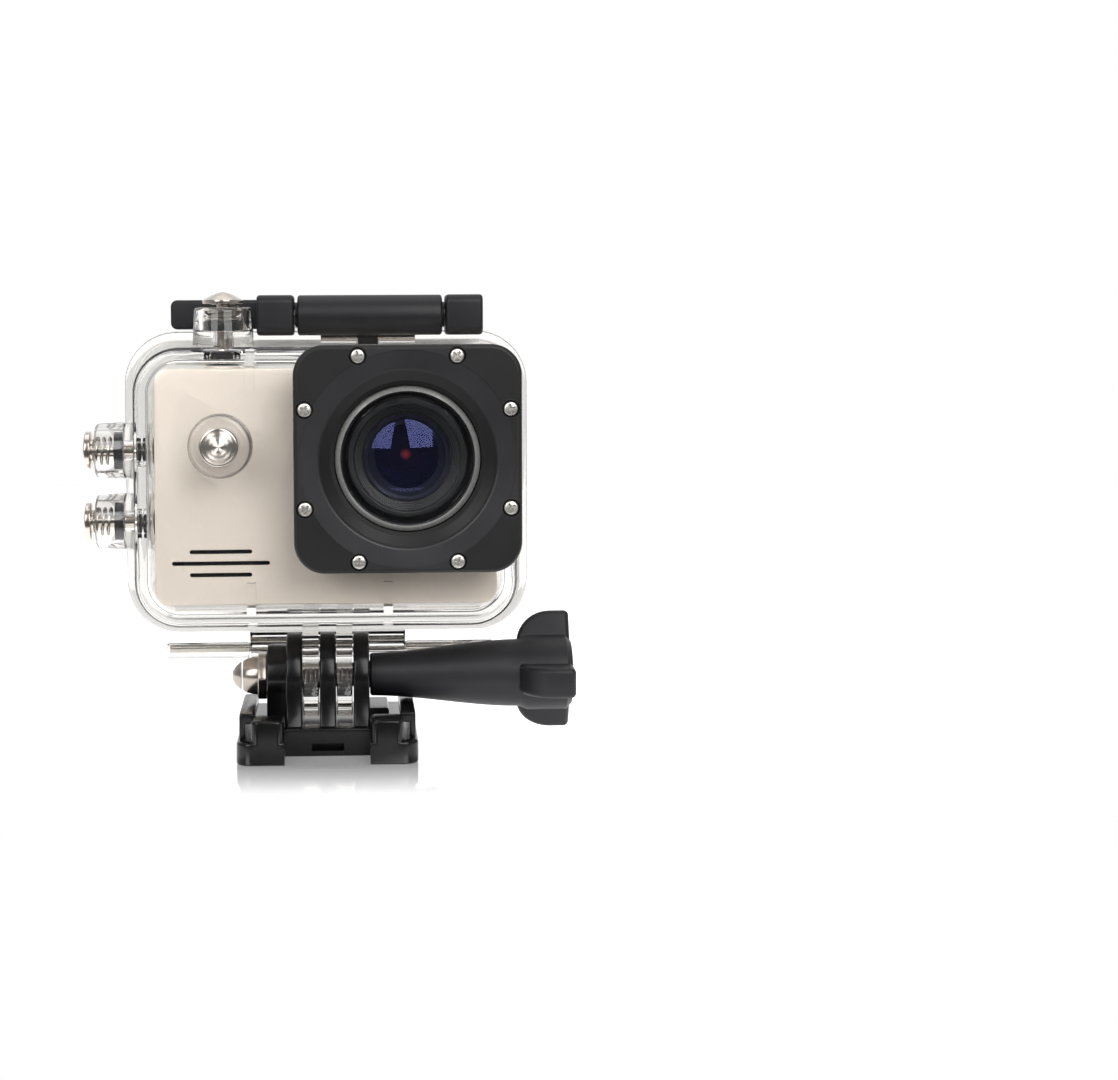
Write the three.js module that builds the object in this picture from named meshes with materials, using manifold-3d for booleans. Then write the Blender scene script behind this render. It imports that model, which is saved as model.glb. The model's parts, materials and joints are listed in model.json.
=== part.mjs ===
// Action camera in its clear waterproof housing, on a quick-release buckle with a thumb screw.
// Millimetres. X runs to the right, Y to the back and Z up. The origin is on the underside of the
// buckle, below the thumb screw's axis, and the lens looks along -Y.
import * as THREE from "three";
import { mergeVertices } from "three/addons/utils/BufferGeometryUtils.js";
import Module from "manifold-3d";

const wasm = await Module();
wasm.setup();

// ---- Driving dimensions ----

const seat = 0.3; // gap between two pieces that rest on each other
const slip = 0.15; // gap round a piece that slides or turns

const camera = {
  width: 59.3,
  height: 41.1,
  depth: 22,
  corner: 2.2,
  wall: 1.3,
  front: -8, // Y of the front face
  coverSplit: 14.4, // depth of the front cover, back to the parting line
};

const lens = {
  x: 13.9,
  fromTop: 15.25, // from the camera's top face down to the lens axis
  ringRadius: 14.2,
  ringFlat: 13.8, // the ring is cut flat this far from the axis, at the top and right
  ringThickness: 2.2,
  barrelRadius: 10.2,
  barrelProud: 8, // how far the barrel stands out of the front face
  mouthRadius: 8.9,
  glassRadius: 7.2,
  sleeveRadius: 10.9,
  boreRadius: 5,
  barrelInside: 7.2, // how far the barrel reaches in behind the front face
};

const keys = {
  proud: 0.5, // how far each button stands out of the camera
  flange: 0.8, // how much wider a button is inside the cover
  flangeThickness: 0.7,
  mode: { x: -18, fromTop: 13.3, radius: 4.9 },
  shutter: { x: -18, radius: 3.2 },
  side: { y: 3, radius: 2.4, fromTop: [14.75, 27.35] },
};

const grille = { x: -18.3, fromBottom: 5, pitch: 2, width: 0.7, lengths: [10.8, 16.9, 10.8] };

// The margins are from the camera's outer faces.
const battery = { left: 4.05, toLens: 0.4, bottom: 1.9, top: 5.9, thickness: 6, fromSpeaker: 0.4 };
const board = { side: 4.2, end: 2.55, thickness: 1.2 };
const post = { radius: 1.3, toScreen: 0.5, fromEnd: 3.75 };
const card = { width: 11, height: 15, thickness: 0.8, x: -16, gapFront: 0.9, gapBack: 0.5 };
const screen = { side: 6.65, end: 3.05, thickness: 2.6, border: 2.25 };
const speaker = { radius: 6.2, thickness: 1.8 };
const sensor = { size: 10 };
const batteryDoor = { width: 26, depth: 9, x: -11.5, y: -1 };

const housing = {
  wall: 2.2,
  frontWall: 2,
  sideGap: 1.15, // from the camera's side to the wall
  endGap: 1.4, // from the camera's top or bottom to the wall
  frontGap: 2, // from the camera's front to the wall
  corner: 8,
  edge: 1.4, // bevel round the front face
  flangeSide: 3.5, // how far the door flange stands out at the sides
  flangeTop: 2.7,
  flangeBottom: 3.7,
  flangeThickness: 4,
  flangeCorner: 9.5,
  ribWidth: 1.6,
  ribs: [-13, 10.6], // X of the ribs that hold the camera
  ribLength: 4,
};

const port = {
  blockSize: 37.4,
  blockCorner: 4.8,
  blockThickness: 2.6,
  recessRadius: 15,
  tubeRadius: 12.3,
  tubeBore: 10.9,
  lensGap: 1.1, // from the barrel's front to the glass
  glassThickness: 1.8,
  sealWidth: 1,
  sealThickness: 0.9,
};

const bezel = {
  size: 38.4,
  corner: 5.2,
  openingRadius: 14.9,
  openingDepth: 1.95, // from the bezel's face down to the glass
  screwNear: 8.33, // the eight screws stand this far and screwFar from the lens axis
  screwFar: 17.3,
};

const bezelScrew = { headRadius: 1.3, headDepth: 0.9, radius: 0.75, grip: 1.3 };

// Each plunger pushes one of the camera's buttons through the wall of the housing.
const plunger = {
  buttonGap: 0.6, // from the foot to the button, with the plunger out
  stemRadius: 1.1,
  pocketSlip: 0.35, // between the foot and its pocket
  pocketDepth: 1.1,
  floor: 3.6, // thickness left under the seal, past the pocket
  well: 2.7, // the least depth of the spring's well
  sealInset: 0.1, // how much narrower than the cap the seal is
  springInset: 1.1,
};

const plungerSizes = {
  front: {
    capRadius: 3.3,
    capThickness: 1.3,
    bossRadius: 5.3,
    bossLength: 3.6,
    capGap: 0.3,
    footRadius: 3,
    sealThickness: 0.6,
    wireRadius: 0.17,
    turns: 2,
  },
  top: {
    capRadius: 3.6,
    capThickness: 2.2,
    bossRadius: 5.1,
    bossLength: 6.9,
    capGap: 0.5,
    footRadius: 3,
    sealThickness: 1.5,
    wireRadius: 0.25,
    turns: 3,
  },
  side: {
    capRadius: 3.4,
    capThickness: 1.9,
    bossRadius: 4.8,
    bossLength: 7.9,
    capGap: 0.4,
    footRadius: 2.4,
    sealThickness: 1.7,
    wireRadius: 0.25,
    turns: 3,
  },
};

const door = {
  gap: 0.3,
  thickness: 5.3,
  windowWidth: 51,
  windowHeight: 37,
  windowCorner: 4,
  windowWall: 2.2,
  edge: 1.2,
  lipHeight: 1.6,
  lipThickness: 2,
  gasketInset: 2.2, // from the door's edge to the outside of the gasket
  gasketWidth: 1.6,
  gasketHeight: 1.3,
};

const hinge = {
  behind: 2.7, // from the door's front face back to the axis
  drop: 3.9, // from the flange's lower edge down to the axis
  barrelRadius: 2.03,
  pinRadius: 0.87,
  left: -29.8,
  right: 30.2,
  middleLeft: -14.4, // the shell's knuckle lies between these two, the door's outside them
  middleRight: 14.1,
};

const latch = {
  y: 5, // the lever's axis
  rise: 5.5, // from the housing's top up to the lever's axis
  barRadius: 3.6,
  barLeft: -5,
  barRight: 20.8,
  knuckleSize: 7.2,
  knuckleWidth: 6.6,
  knuckleGap: 0.6,
  plateThickness: 3.2,
  clawGap: 1.4, // from the door's lip to the claw
  clawThickness: 1.1,
  clawGrip: 0.5, // how far the claw hangs below the top of the lip
  tabLength: 16.1,
  tabDepth: 7,
  tabDrop: 2.4, // the tab's underside, below the lever's axis
  tabRise: 2.95,
  pinRadius: 1,
  lugY: 8.4,
  lugRise: 1.5,
  lugRadius: 1.45,
  lugWidth: 6.7,
  lugPinRadius: 0.6,
  tongueWidth: 3.6,
  tongueX: 7.55,
};

const finger = { thickness: 2.8, radius: 7.3, reach: 10.1 }; // reach: screw axis to the housing

const buckle = {
  screwHeight: 12.5,
  prongRadius: 7.5,
  prongThickness: 2.8,
  gap: 3.1,
  gapFloor: 4.8,
  width: 31,
  front: -18.5,
  back: 21,
  railHeight: 3.9,
  railCorner: 2.5,
  recessDepth: 8,
  blockWidth: 5.7,
  blockTop: 7.6,
  blockDepth: 6.5,
  armWall: 1,
  armTop: 8.2,
  armLip: 1.75,
  armFront: -14.4,
  armBack: 6,
  sideBoss: 3.4,
  sideBossRadius: 5.5,
  stopHeight: 7.5,
  slotWidth: 5.6,
  slotHeight: 1.3,
  slotDepth: 3,
};

const screw = {
  radius: 2.4,
  tipDepth: 4.2, // how far the bolt reaches into the nut
  inKnob: 12,
  domeRadius: 3.45,
  nutLength: 6.2,
  hexLength: 1.5,
  hexAcross: 7.8,
};

const knob = {
  shaftRadius: 3.8,
  flareRadius: 5.95,
  shaftLength: 26,
  headLength: 9.8,
  lobeReach: 11,
  lobeWidth: 5.3,
  coreRadius: 6.6,
  edge: 1,
  turn: -28, // where the first lobe points: degrees from straight up, towards the front
};

// ---- Places that follow from the dimensions ----

const housingBottom = finger.reach; // heights inside the housing group are from the screw axis
const cameraBottom = housingBottom + housing.wall + housing.endGap;
const cameraTop = cameraBottom + camera.height;
const housingTop = cameraTop + housing.endGap + housing.wall;
const housingHalf = camera.width / 2 + housing.sideGap + housing.wall;
const housingFront = camera.front - housing.frontGap - housing.frontWall;
const cameraBack = camera.front + camera.depth;
const flangeFront = cameraBack - housing.flangeThickness;
const flangeHalf = housingHalf + housing.flangeSide;
const flangeTop = housingTop + housing.flangeTop;
const flangeBottom = housingBottom - housing.flangeBottom;
const doorFront = cameraBack + door.gap;
const doorBack = doorFront + door.thickness;
const hingeY = doorFront + hinge.behind;
const hingeZ = flangeBottom - hinge.drop;
const lipTop = flangeTop + door.lipHeight;
const lipBack = doorFront + door.edge + door.lipThickness;
const plateBack = lipBack + latch.clawGap + latch.clawThickness;
const lensZ = cameraTop - lens.fromTop;
const blockFront = housingFront - port.blockThickness;
const bezelBack = blockFront - slip;
const glassBack = camera.front - lens.barrelProud - port.lensGap;
const glassFront = glassBack - port.glassThickness;
const sealFront = glassBack + slip;
const sealBack = sealFront + port.sealThickness;
const tubeFront = sealBack + slip;
const bezelFront = glassFront - bezel.openingDepth;
const screwTip = blockFront + bezelScrew.grip;
const leverZ = housingTop + latch.rise;
const lugZ = housingTop + latch.lugRise;
const fingerX = (buckle.prongThickness + buckle.gap) / 2;
const prongOutside = 1.5 * buckle.prongThickness + buckle.gap;

// ---- Shapes ----

// A closed three.js geometry as a solid that can be cut and joined.
function solid(geometry) {
  const bare = new THREE.BufferGeometry();
  bare.setAttribute("position", geometry.getAttribute("position").clone());
  bare.setIndex(geometry.index);
  const merged = mergeVertices(bare, 1e-4);
  const triVerts = new Uint32Array(merged.index.array);
  const vertProperties = merged.attributes.position.array;
  return new wasm.Manifold(new wasm.Mesh({ numProp: 3, vertProperties, triVerts }));
}

function geometryOf(shape) {
  const mesh = shape.getMesh();
  const geometry = new THREE.BufferGeometry();
  geometry.setAttribute("position", new THREE.BufferAttribute(mesh.vertProperties, 3));
  geometry.setIndex(new THREE.BufferAttribute(mesh.triVerts, 1));
  geometry.computeVertexNormals();
  return geometry;
}

const unit = {
  x: new THREE.Vector3(1, 0, 0),
  y: new THREE.Vector3(0, 1, 0),
  z: new THREE.Vector3(0, 0, 1),
};

// An outline drawn in the plane across an axis, and carried along that axis from one level to
// another. Across x it is drawn in (y, z), across y in (x, z) and across z in (x, y).
function prism(axis, outline, from, to, edge = 0, curveSegments = 2) {
  const geometry = new THREE.ExtrudeGeometry(outline, {
    depth: to - from - 2 * edge,
    bevelEnabled: edge > 0,
    bevelThickness: edge,
    bevelSize: edge,
    bevelOffset: -edge,
    bevelSegments: 1,
    curveSegments,
  });
  geometry.translate(0, 0, edge);
  if (axis === "x") {
    geometry.applyMatrix4(new THREE.Matrix4().makeBasis(unit.y, unit.z, unit.x));
    geometry.translate(from, 0, 0);
  } else if (axis === "y") {
    geometry.rotateX(Math.PI / 2);
    geometry.translate(0, to, 0);
  } else {
    geometry.translate(0, 0, from);
  }
  return solid(geometry);
}

// A profile of [radius, level] points turned about an axis through a place across it.
function turned(axis, profile, place = [0, 0], segments = 32) {
  const points = profile.map(([radius, level]) => new THREE.Vector2(radius, level));
  const geometry = new THREE.LatheGeometry(points, segments);
  const [u, v] = place;
  if (axis === "x") {
    geometry.rotateZ(-Math.PI / 2);
    geometry.translate(0, u, v);
  } else if (axis === "y") {
    geometry.translate(u, 0, v);
  } else {
    geometry.rotateX(Math.PI / 2);
    geometry.translate(u, v, 0);
  }
  return solid(geometry);
}

function rod(axis, radius, from, to, place = [0, 0], segments = 32) {
  const profile = [
    [0, from],
    [radius, from],
    [radius, to],
    [0, to],
  ];
  return turned(axis, profile, place, segments);
}

// A ring of square section, from an inner to an outer radius.
function ring(axis, inner, outer, from, to, place = [0, 0], segments = 32) {
  const profile = [
    [inner, from],
    [outer, from],
    [outer, to],
    [inner, to],
    [inner, from],
  ];
  return turned(axis, profile, place, segments);
}

function rectangle(left, right, low, high, corner = 0) {
  const shape = new THREE.Shape();
  if (corner === 0) {
    shape.moveTo(left, low);
    shape.lineTo(right, low);
    shape.lineTo(right, high);
    shape.lineTo(left, high);
    return shape;
  }
  shape.moveTo(left + corner, low);
  shape.absarc(right - corner, low + corner, corner, -Math.PI / 2, 0);
  shape.absarc(right - corner, high - corner, corner, 0, Math.PI / 2);
  shape.absarc(left + corner, high - corner, corner, Math.PI / 2, Math.PI);
  shape.absarc(left + corner, low + corner, corner, Math.PI, 1.5 * Math.PI);
  return shape;
}

function polygon(points) {
  return new THREE.Shape(points.map(([u, v]) => new THREE.Vector2(u, v)));
}

// A box between two corners.
function block(left, right, front, back, low, high) {
  return prism("y", rectangle(left, right, low, high), front, back);
}

function union(...shapes) {
  return shapes.reduce((whole, shape) => whole.add(shape));
}

function cut(shape, ...tools) {
  return tools.reduce((rest, tool) => rest.subtract(tool), shape);
}

// ---- Finishes ----

const finishes = {
  champagne: { color: 0xdcd3ca, roughness: 0.42, metalness: 0.55 },
  blackPlastic: { color: 0x232326, roughness: 0.45, metalness: 0 },
  glossBlack: { color: 0x141416, roughness: 0.2, metalness: 0 },
  clear: { color: 0xeef0f0, roughness: 0.05, metalness: 0, transparent: true, opacity: 0.25 },
  glass: { color: 0x3a4a80, roughness: 0.03, metalness: 0, transparent: true, opacity: 0.5 },
  steel: { color: 0xb9b4ae, roughness: 0.28, metalness: 1 },
  rubber: { color: 0x161618, roughness: 0.8, metalness: 0 },
  silicone: { color: 0xe4e6e6, roughness: 0.5, metalness: 0 },
  board: { color: 0x1d5a3a, roughness: 0.5, metalness: 0 },
  cell: { color: 0x2c2e33, roughness: 0.5, metalness: 0 },
  display: { color: 0x0c0d10, roughness: 0.15, metalness: 0 },
};

function piece(name, shape, finish, group) {
  const material = new THREE.MeshStandardMaterial(finishes[finish]);
  const mesh = new THREE.Mesh(geometryOf(shape), material);
  mesh.name = name;
  group.add(mesh);
  return mesh;
}

const object = new THREE.Group();
const mountGroup = new THREE.Group();
const housingGroup = new THREE.Group(); // its origin is on the screw axis
housingGroup.position.z = buckle.screwHeight;
const cameraGroup = new THREE.Group(); // its origin is the middle of the camera's front, at the base
cameraGroup.position.set(0, camera.front, cameraBottom);
housingGroup.add(cameraGroup);
object.add(mountGroup, housingGroup);

// ---- Camera covers ----

const lensUp = camera.height - lens.fromTop;
const modeUp = camera.height - keys.mode.fromTop;
const keyDepth = keys.side.y - camera.front; // the side keys and shutter, behind the front face
const shutterDepth = -camera.front;

// What lies behind what inside the camera, as depths from the front face.
const speakerFront = camera.wall + seat;
const speakerBack = speakerFront + speaker.thickness;
const batteryFront = speakerBack + battery.fromSpeaker;
const cardFront = batteryFront + battery.thickness + card.gapFront;
const cardBack = cardFront + card.thickness;
const boardFront = cardBack + card.gapBack;
const boardBack = boardFront + board.thickness;

function cameraOutline(inset) {
  const half = camera.width / 2 - inset;
  return rectangle(-half, half, inset, camera.height - inset, camera.corner - inset);
}

function frontCover() {
  const shell = prism("y", cameraOutline(0), 0, camera.coverSplit, 0.5);
  const hollow = prism("y", cameraOutline(camera.wall), camera.wall, camera.coverSplit + 1);
  const slots = grille.lengths.map((length, i) => {
    const z = grille.fromBottom + i * grille.pitch;
    const left = grille.x - length / 2;
    return block(left, left + length, -1, camera.wall + 1, z, z + grille.width);
  });
  const sideHoles = keys.side.fromTop.map((drop) =>
    rod("x", keys.side.radius + slip, -camera.width, 0, [keyDepth, camera.height - drop], 20),
  );
  return cut(
    shell,
    hollow,
    rod("y", lens.sleeveRadius + slip, -1, 3, [lens.x, lensUp], 32),
    rod("y", keys.mode.radius + slip, -1, 3, [keys.mode.x, modeUp]),
    rod("z", keys.shutter.radius + slip, 30, 50, [keys.shutter.x, shutterDepth], 24),
    ...sideHoles,
    ...slots,
    batteryDoorBlock(slip, -1, camera.wall + 1),
  );
}

function batteryDoorBlock(grow, low, high) {
  const halfWidth = batteryDoor.width / 2 + grow;
  const halfDepth = batteryDoor.depth / 2 + grow;
  const y = batteryDoor.y - camera.front;
  const { x } = batteryDoor;
  return block(x - halfWidth, x + halfWidth, y - halfDepth, y + halfDepth, low, high);
}

function rearCover() {
  const backInside = camera.depth - camera.wall;
  const front = camera.coverSplit + slip;
  const shell = prism("y", cameraOutline(0), front, camera.depth, 0.5);
  const hollow = prism("y", cameraOutline(camera.wall), front - 1, backInside);
  const opening = screenBlock(screen.border, backInside - 1, camera.depth);
  const recess = screenBlock(-slip, camera.depth - 0.9, camera.depth + 1);
  const postX = camera.width / 2 - screen.side + post.toScreen + post.radius;
  const posts = [-postX, postX].flatMap((x) =>
    [post.fromEnd, camera.height - post.fromEnd].map((z) =>
      rod("y", post.radius, boardBack + seat, backInside + 0.2, [x, z], 12),
    ),
  );
  return union(cut(shell, hollow, opening, recess), ...posts);
}

// A block with the screen's outline, drawn in by an inset.
function screenBlock(inset, from, to) {
  const half = camera.width / 2 - screen.side - inset;
  const end = screen.end + inset;
  return prism("y", rectangle(-half, half, end, camera.height - end, 0.8), from, to);
}

piece("camera_front_cover", frontCover(), "champagne", cameraGroup);
piece("camera_rear_cover", rearCover(), "champagne", cameraGroup);

// ---- Inside the camera ----

function lcd() {
  const back = camera.depth - camera.wall - seat;
  return screenBlock(0, back - screen.thickness, back);
}

function mainBoard() {
  const half = camera.width / 2 - board.side;
  const plate = block(-half, half, boardFront, boardBack, board.end, camera.height - board.end);
  const processor = block(2, 14, boardBack - 0.1, boardBack + 1.2, 12, 24);
  const memory = block(-14, -6, boardBack - 0.1, boardBack + 1, 14, 24);
  return union(plate, processor, memory);
}

function batteryPack() {
  const left = battery.left - camera.width / 2;
  const right = lens.x - lens.sleeveRadius - battery.toLens;
  const outline = rectangle(left, right, battery.bottom, camera.height - battery.top, 1);
  return prism("y", outline, batteryFront, batteryFront + battery.thickness);
}

function memoryCard() {
  const left = card.x - card.width / 2;
  const low = battery.bottom + 6;
  return block(left, left + card.width, cardFront, cardBack, low, low + card.height);
}

function speakerCan() {
  const z = grille.fromBottom + grille.pitch + grille.width / 2 + 1;
  return rod("y", speaker.radius, speakerFront, speakerBack, [grille.x, z], 24);
}

function sensorBlock() {
  const half = sensor.size / 2;
  const front = lens.barrelInside + seat;
  const back = boardFront - seat;
  return block(lens.x - half, lens.x + half, front, back, lensUp - half, lensUp + half);
}

piece("lcd_screen", lcd(), "display", cameraGroup);
const windowGlass = screenBlock(0, camera.depth - 0.75, camera.depth - 0.1);
piece("screen_window", windowGlass, "glass", cameraGroup);
piece("main_board", mainBoard(), "board", cameraGroup);
piece("battery", batteryPack(), "cell", cameraGroup);
piece("memory_card", memoryCard(), "blackPlastic", cameraGroup);
piece("speaker", speakerCan(), "steel", cameraGroup);
piece("image_sensor", sensorBlock(), "display", cameraGroup);
piece("battery_door", batteryDoorBlock(0, 0, camera.wall), "champagne", cameraGroup);

// ---- Lens ----

const lensPlace = [lens.x, lensUp];

function lensRing() {
  const back = -slip;
  const front = back - lens.ringThickness;
  const bore = lens.barrelRadius + slip;
  const flange = turned(
    "y",
    [
      [bore, front],
      [lens.ringRadius - 0.9, front],
      [lens.ringRadius, front + 0.9],
      [lens.ringRadius, back],
      [lens.sleeveRadius, back],
      [lens.sleeveRadius, camera.wall + 0.6],
      [bore, camera.wall + 0.6],
      [bore, front],
    ],
    lensPlace,
    32,
  );
  const flat = lens.ringFlat;
  const far = 2 * lens.ringRadius;
  const overTop = block(lens.x - far, lens.x + far, -5, back, lensUp + flat, lensUp + far);
  const overSide = block(lens.x + flat, lens.x + far, -5, back, lensUp - far, lensUp + far);
  return cut(flange, overTop, overSide);
}

function lensBarrel() {
  const front = -lens.barrelProud;
  const glassSeat = front + 3.6;
  return turned(
    "y",
    [
      [lens.mouthRadius, front],
      [lens.barrelRadius - 0.3, front],
      [lens.barrelRadius, front + 0.3],
      [lens.barrelRadius, lens.barrelInside],
      [lens.boreRadius, lens.barrelInside],
      [lens.boreRadius, glassSeat + 1.2],
      [lens.glassRadius - 0.8, glassSeat],
      [lens.glassRadius + slip, glassSeat],
      [lens.glassRadius + slip, glassSeat - 1.2],
      [lens.mouthRadius, front],
    ],
    lensPlace,
    32,
  );
}

// Both faces of the front lens bulge forwards, the outer one more.
function frontLens() {
  const rim = -lens.barrelProud + 3.6 - seat;
  const r = lens.glassRadius;
  return turned(
    "y",
    [
      [0, rim - 2.5],
      [0.4 * r, rim - 2.2],
      [0.75 * r, rim - 1.5],
      [r, rim - 0.6],
      [r, rim],
      [0.85 * r, rim],
      [0.5 * r, rim - 0.7],
      [0, rim - 0.9],
    ],
    lensPlace,
    24,
  );
}

function rearLens() {
  const r = lens.boreRadius - slip;
  return turned(
    "y",
    [
      [0, 0.6],
      [0.6 * r, 0.9],
      [r, 1.6],
      [r, 3.2],
      [0.6 * r, 3.9],
      [0, 4.2],
    ],
    lensPlace,
    24,
  );
}

piece("lens_ring", lensRing(), "blackPlastic", cameraGroup);
piece("lens_barrel", lensBarrel(), "blackPlastic", cameraGroup);
piece("front_lens", frontLens(), "glass", cameraGroup);
piece("rear_lens", rearLens(), "glass", cameraGroup);

// ---- Camera buttons ----

// A button made along Z, with its face above the cover's outer face at zero.
function button(radius, segments) {
  const under = -camera.wall - seat;
  return turned(
    "z",
    [
      [0, under - keys.flangeThickness],
      [radius + keys.flange, under - keys.flangeThickness],
      [radius + keys.flange, under],
      [radius, under],
      [radius, keys.proud - 0.2],
      [radius - 0.2, keys.proud],
      [0, keys.proud],
    ],
    [0, 0],
    segments,
  );
}

const facing = {
  front: new THREE.Euler(Math.PI / 2, 0, 0),
  top: new THREE.Euler(0, 0, 0),
  side: new THREE.Euler(0, -Math.PI / 2, 0),
};

const [upDrop, downDrop] = keys.side.fromTop;
const upZ = cameraTop - upDrop;
const downZ = cameraTop - downDrop;
const modeZ = cameraTop - keys.mode.fromTop;
const leftSide = -camera.width / 2;

// Where each button's axis meets the camera's surface, in the housing group.
const stations = {
  front: {
    button: "mode_button",
    at: [keys.mode.x, camera.front, modeZ],
    facing: facing.front,
    radius: keys.mode.radius,
    gap: housing.frontGap,
    wall: housing.frontWall,
    size: plungerSizes.front,
  },
  top: {
    button: "shutter_button",
    at: [keys.shutter.x, 0, cameraTop],
    facing: facing.top,
    radius: keys.shutter.radius,
    gap: housing.endGap,
    wall: housing.wall,
    size: plungerSizes.top,
  },
  upper: {
    button: "up_key",
    at: [leftSide, keys.side.y, upZ],
    facing: facing.side,
    radius: keys.side.radius,
    gap: housing.sideGap,
    wall: housing.wall,
    size: plungerSizes.side,
  },
  lower: {
    button: "down_key",
    at: [leftSide, keys.side.y, downZ],
    facing: facing.side,
    radius: keys.side.radius,
    gap: housing.sideGap,
    wall: housing.wall,
    size: plungerSizes.side,
  },
};

// ---- Plungers ----
// A plunger is made along Z, outwards, from the camera's surface at zero.

function plungerLevels({ gap, wall, size }) {
  const outside = gap + wall;
  const pocket = gap + plunger.pocketDepth;
  const bossTop = outside + size.bossLength;
  const floor = Math.min(pocket + plunger.floor, bossTop - plunger.well);
  const capUnder = bossTop + size.capGap;
  return { outside, pocket, bossTop, floor, capUnder, capTop: capUnder + size.capThickness };
}

function boss(station) {
  const { pocket, bossTop } = plungerLevels(station);
  const { bossRadius } = station.size;
  return turned(
    "z",
    [
      [0, pocket - 0.4],
      [bossRadius + 0.3, pocket - 0.4],
      [bossRadius, bossTop - 0.6],
      [bossRadius - 0.5, bossTop],
      [0, bossTop],
    ],
    [0, 0],
    20,
  );
}

function bossBore(station) {
  const { pocket, bossTop, floor } = plungerLevels(station);
  const spring = rod("z", station.size.capRadius + slip, floor, bossTop + 1, [0, 0], 16);
  const stem = rod("z", plunger.stemRadius + slip, 0, floor + 1, [0, 0], 10);
  const pocketRadius = station.size.footRadius + plunger.pocketSlip;
  const foot = rod("z", pocketRadius, station.gap - 0.5, pocket, [0, 0], 12);
  return union(spring, stem, foot);
}

// The steel cap and stem in one, with a groove turned under the cap.
function plungerPin(station) {
  const { pocket, capUnder, capTop } = plungerLevels(station);
  const { capRadius } = station.size;
  return turned(
    "z",
    [
      [0, pocket + slip],
      [plunger.stemRadius, pocket + slip],
      [plunger.stemRadius, capUnder],
      [capRadius - 0.3, capUnder],
      [capRadius, capUnder + 0.4],
      [capRadius, capTop - 0.8],
      [capRadius - 0.6, capTop - 0.35],
      [0, capTop],
    ],
    [0, 0],
    16,
  );
}

function plungerFoot(station) {
  const { pocket } = plungerLevels(station);
  const low = keys.proud + plunger.buttonGap;
  return rod("z", station.size.footRadius, low, pocket, [0, 0], 12);
}

function plungerSeal(station) {
  const { floor } = plungerLevels(station);
  const { capRadius, sealThickness } = station.size;
  const low = floor + slip;
  const inner = plunger.stemRadius + 0.1;
  return ring("z", inner, capRadius - plunger.sealInset, low, low + sealThickness, [0, 0], 12);
}

class Helix extends THREE.Curve {
  constructor(radius, low, high, turns) {
    super();
    Object.assign(this, { radius, low, high, turns });
  }

  getPoint(t, target = new THREE.Vector3()) {
    const angle = 2 * Math.PI * this.turns * t;
    const z = this.low + (this.high - this.low) * t;
    return target.set(this.radius * Math.cos(angle), this.radius * Math.sin(angle), z);
  }
}

function plungerSpring(station) {
  const { floor, capUnder } = plungerLevels(station);
  const { capRadius, sealThickness, wireRadius, turns } = station.size;
  const low = floor + slip + sealThickness + slip + wireRadius;
  const high = capUnder - slip - wireRadius;
  const wire = new THREE.Shape().absarc(0, 0, wireRadius, 0, 2 * Math.PI);
  const path = new Helix(capRadius - plunger.springInset, low, high, turns);
  const options = { steps: 8 * turns, extrudePath: path, curveSegments: 2, bevelEnabled: false };
  return solid(new THREE.ExtrudeGeometry(wire, options));
}

for (const [side, station] of Object.entries(stations)) {
  const group = new THREE.Group();
  group.position.set(...station.at);
  group.rotation.copy(station.facing);
  housingGroup.add(group);
  const segments = station.radius > 4 ? 24 : 12;
  piece(station.button, button(station.radius, segments), "champagne", group);
  piece(side + "_plunger", plungerPin(station), "steel", group);
  piece(side + "_plunger_foot", plungerFoot(station), "rubber", group);
  piece(side + "_plunger_spring", plungerSpring(station), "steel", group);
  piece(side + "_plunger_seal", plungerSeal(station), "rubber", group);
}

// A shape made in a station's own frame, carried to the housing's frame.
function atStation(shape, station) {
  const group = new THREE.Group();
  group.position.set(...station.at);
  group.rotation.copy(station.facing);
  group.updateMatrix();
  return shape.transform(group.matrix.elements.map((value) => Math.round(value * 1e6) / 1e6));
}

// ---- Housing shell ----

function housingOutline(inset) {
  const half = housingHalf - inset;
  return rectangle(-half, half, housingBottom + inset, housingTop - inset, housing.corner - inset);
}

function flangeOutline(inset) {
  const corner = housing.flangeCorner - inset;
  const half = flangeHalf - inset;
  return rectangle(-half, half, flangeBottom + inset, flangeTop - inset, corner);
}

function squareAt(size, corner) {
  const half = size / 2;
  return rectangle(lens.x - half, lens.x + half, lensZ - half, lensZ + half, corner);
}

// The two flat fingers that fit between the buckle's prongs.
function fingers() {
  const outline = new THREE.Shape();
  outline.moveTo(-finger.radius, housingBottom + 0.5);
  outline.lineTo(-finger.radius, 0);
  outline.absarc(0, 0, finger.radius, Math.PI, 2 * Math.PI);
  outline.lineTo(finger.radius, housingBottom + 0.5);
  const half = finger.thickness / 2;
  const pair = [-fingerX, fingerX].map((x) => prism("x", outline, x - half, x + half, 0, 5));
  return union(...pair);
}

function hingeKnuckle(left, right, outline) {
  const barrel = rod("x", hinge.barrelRadius, left, right, [hingeY, hingeZ], 20);
  return union(barrel, prism("x", polygon(outline), left, right));
}

function shellKnuckle() {
  const outline = [
    [flangeFront + 1, flangeBottom + 0.4],
    [hingeY - 1.2, hingeZ - 1.2],
    [hingeY + 0.6, hingeZ + 1.6],
    [cameraBack - 0.5, flangeBottom + 0.4],
  ];
  return hingeKnuckle(hinge.middleLeft, hinge.middleRight, outline);
}

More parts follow.
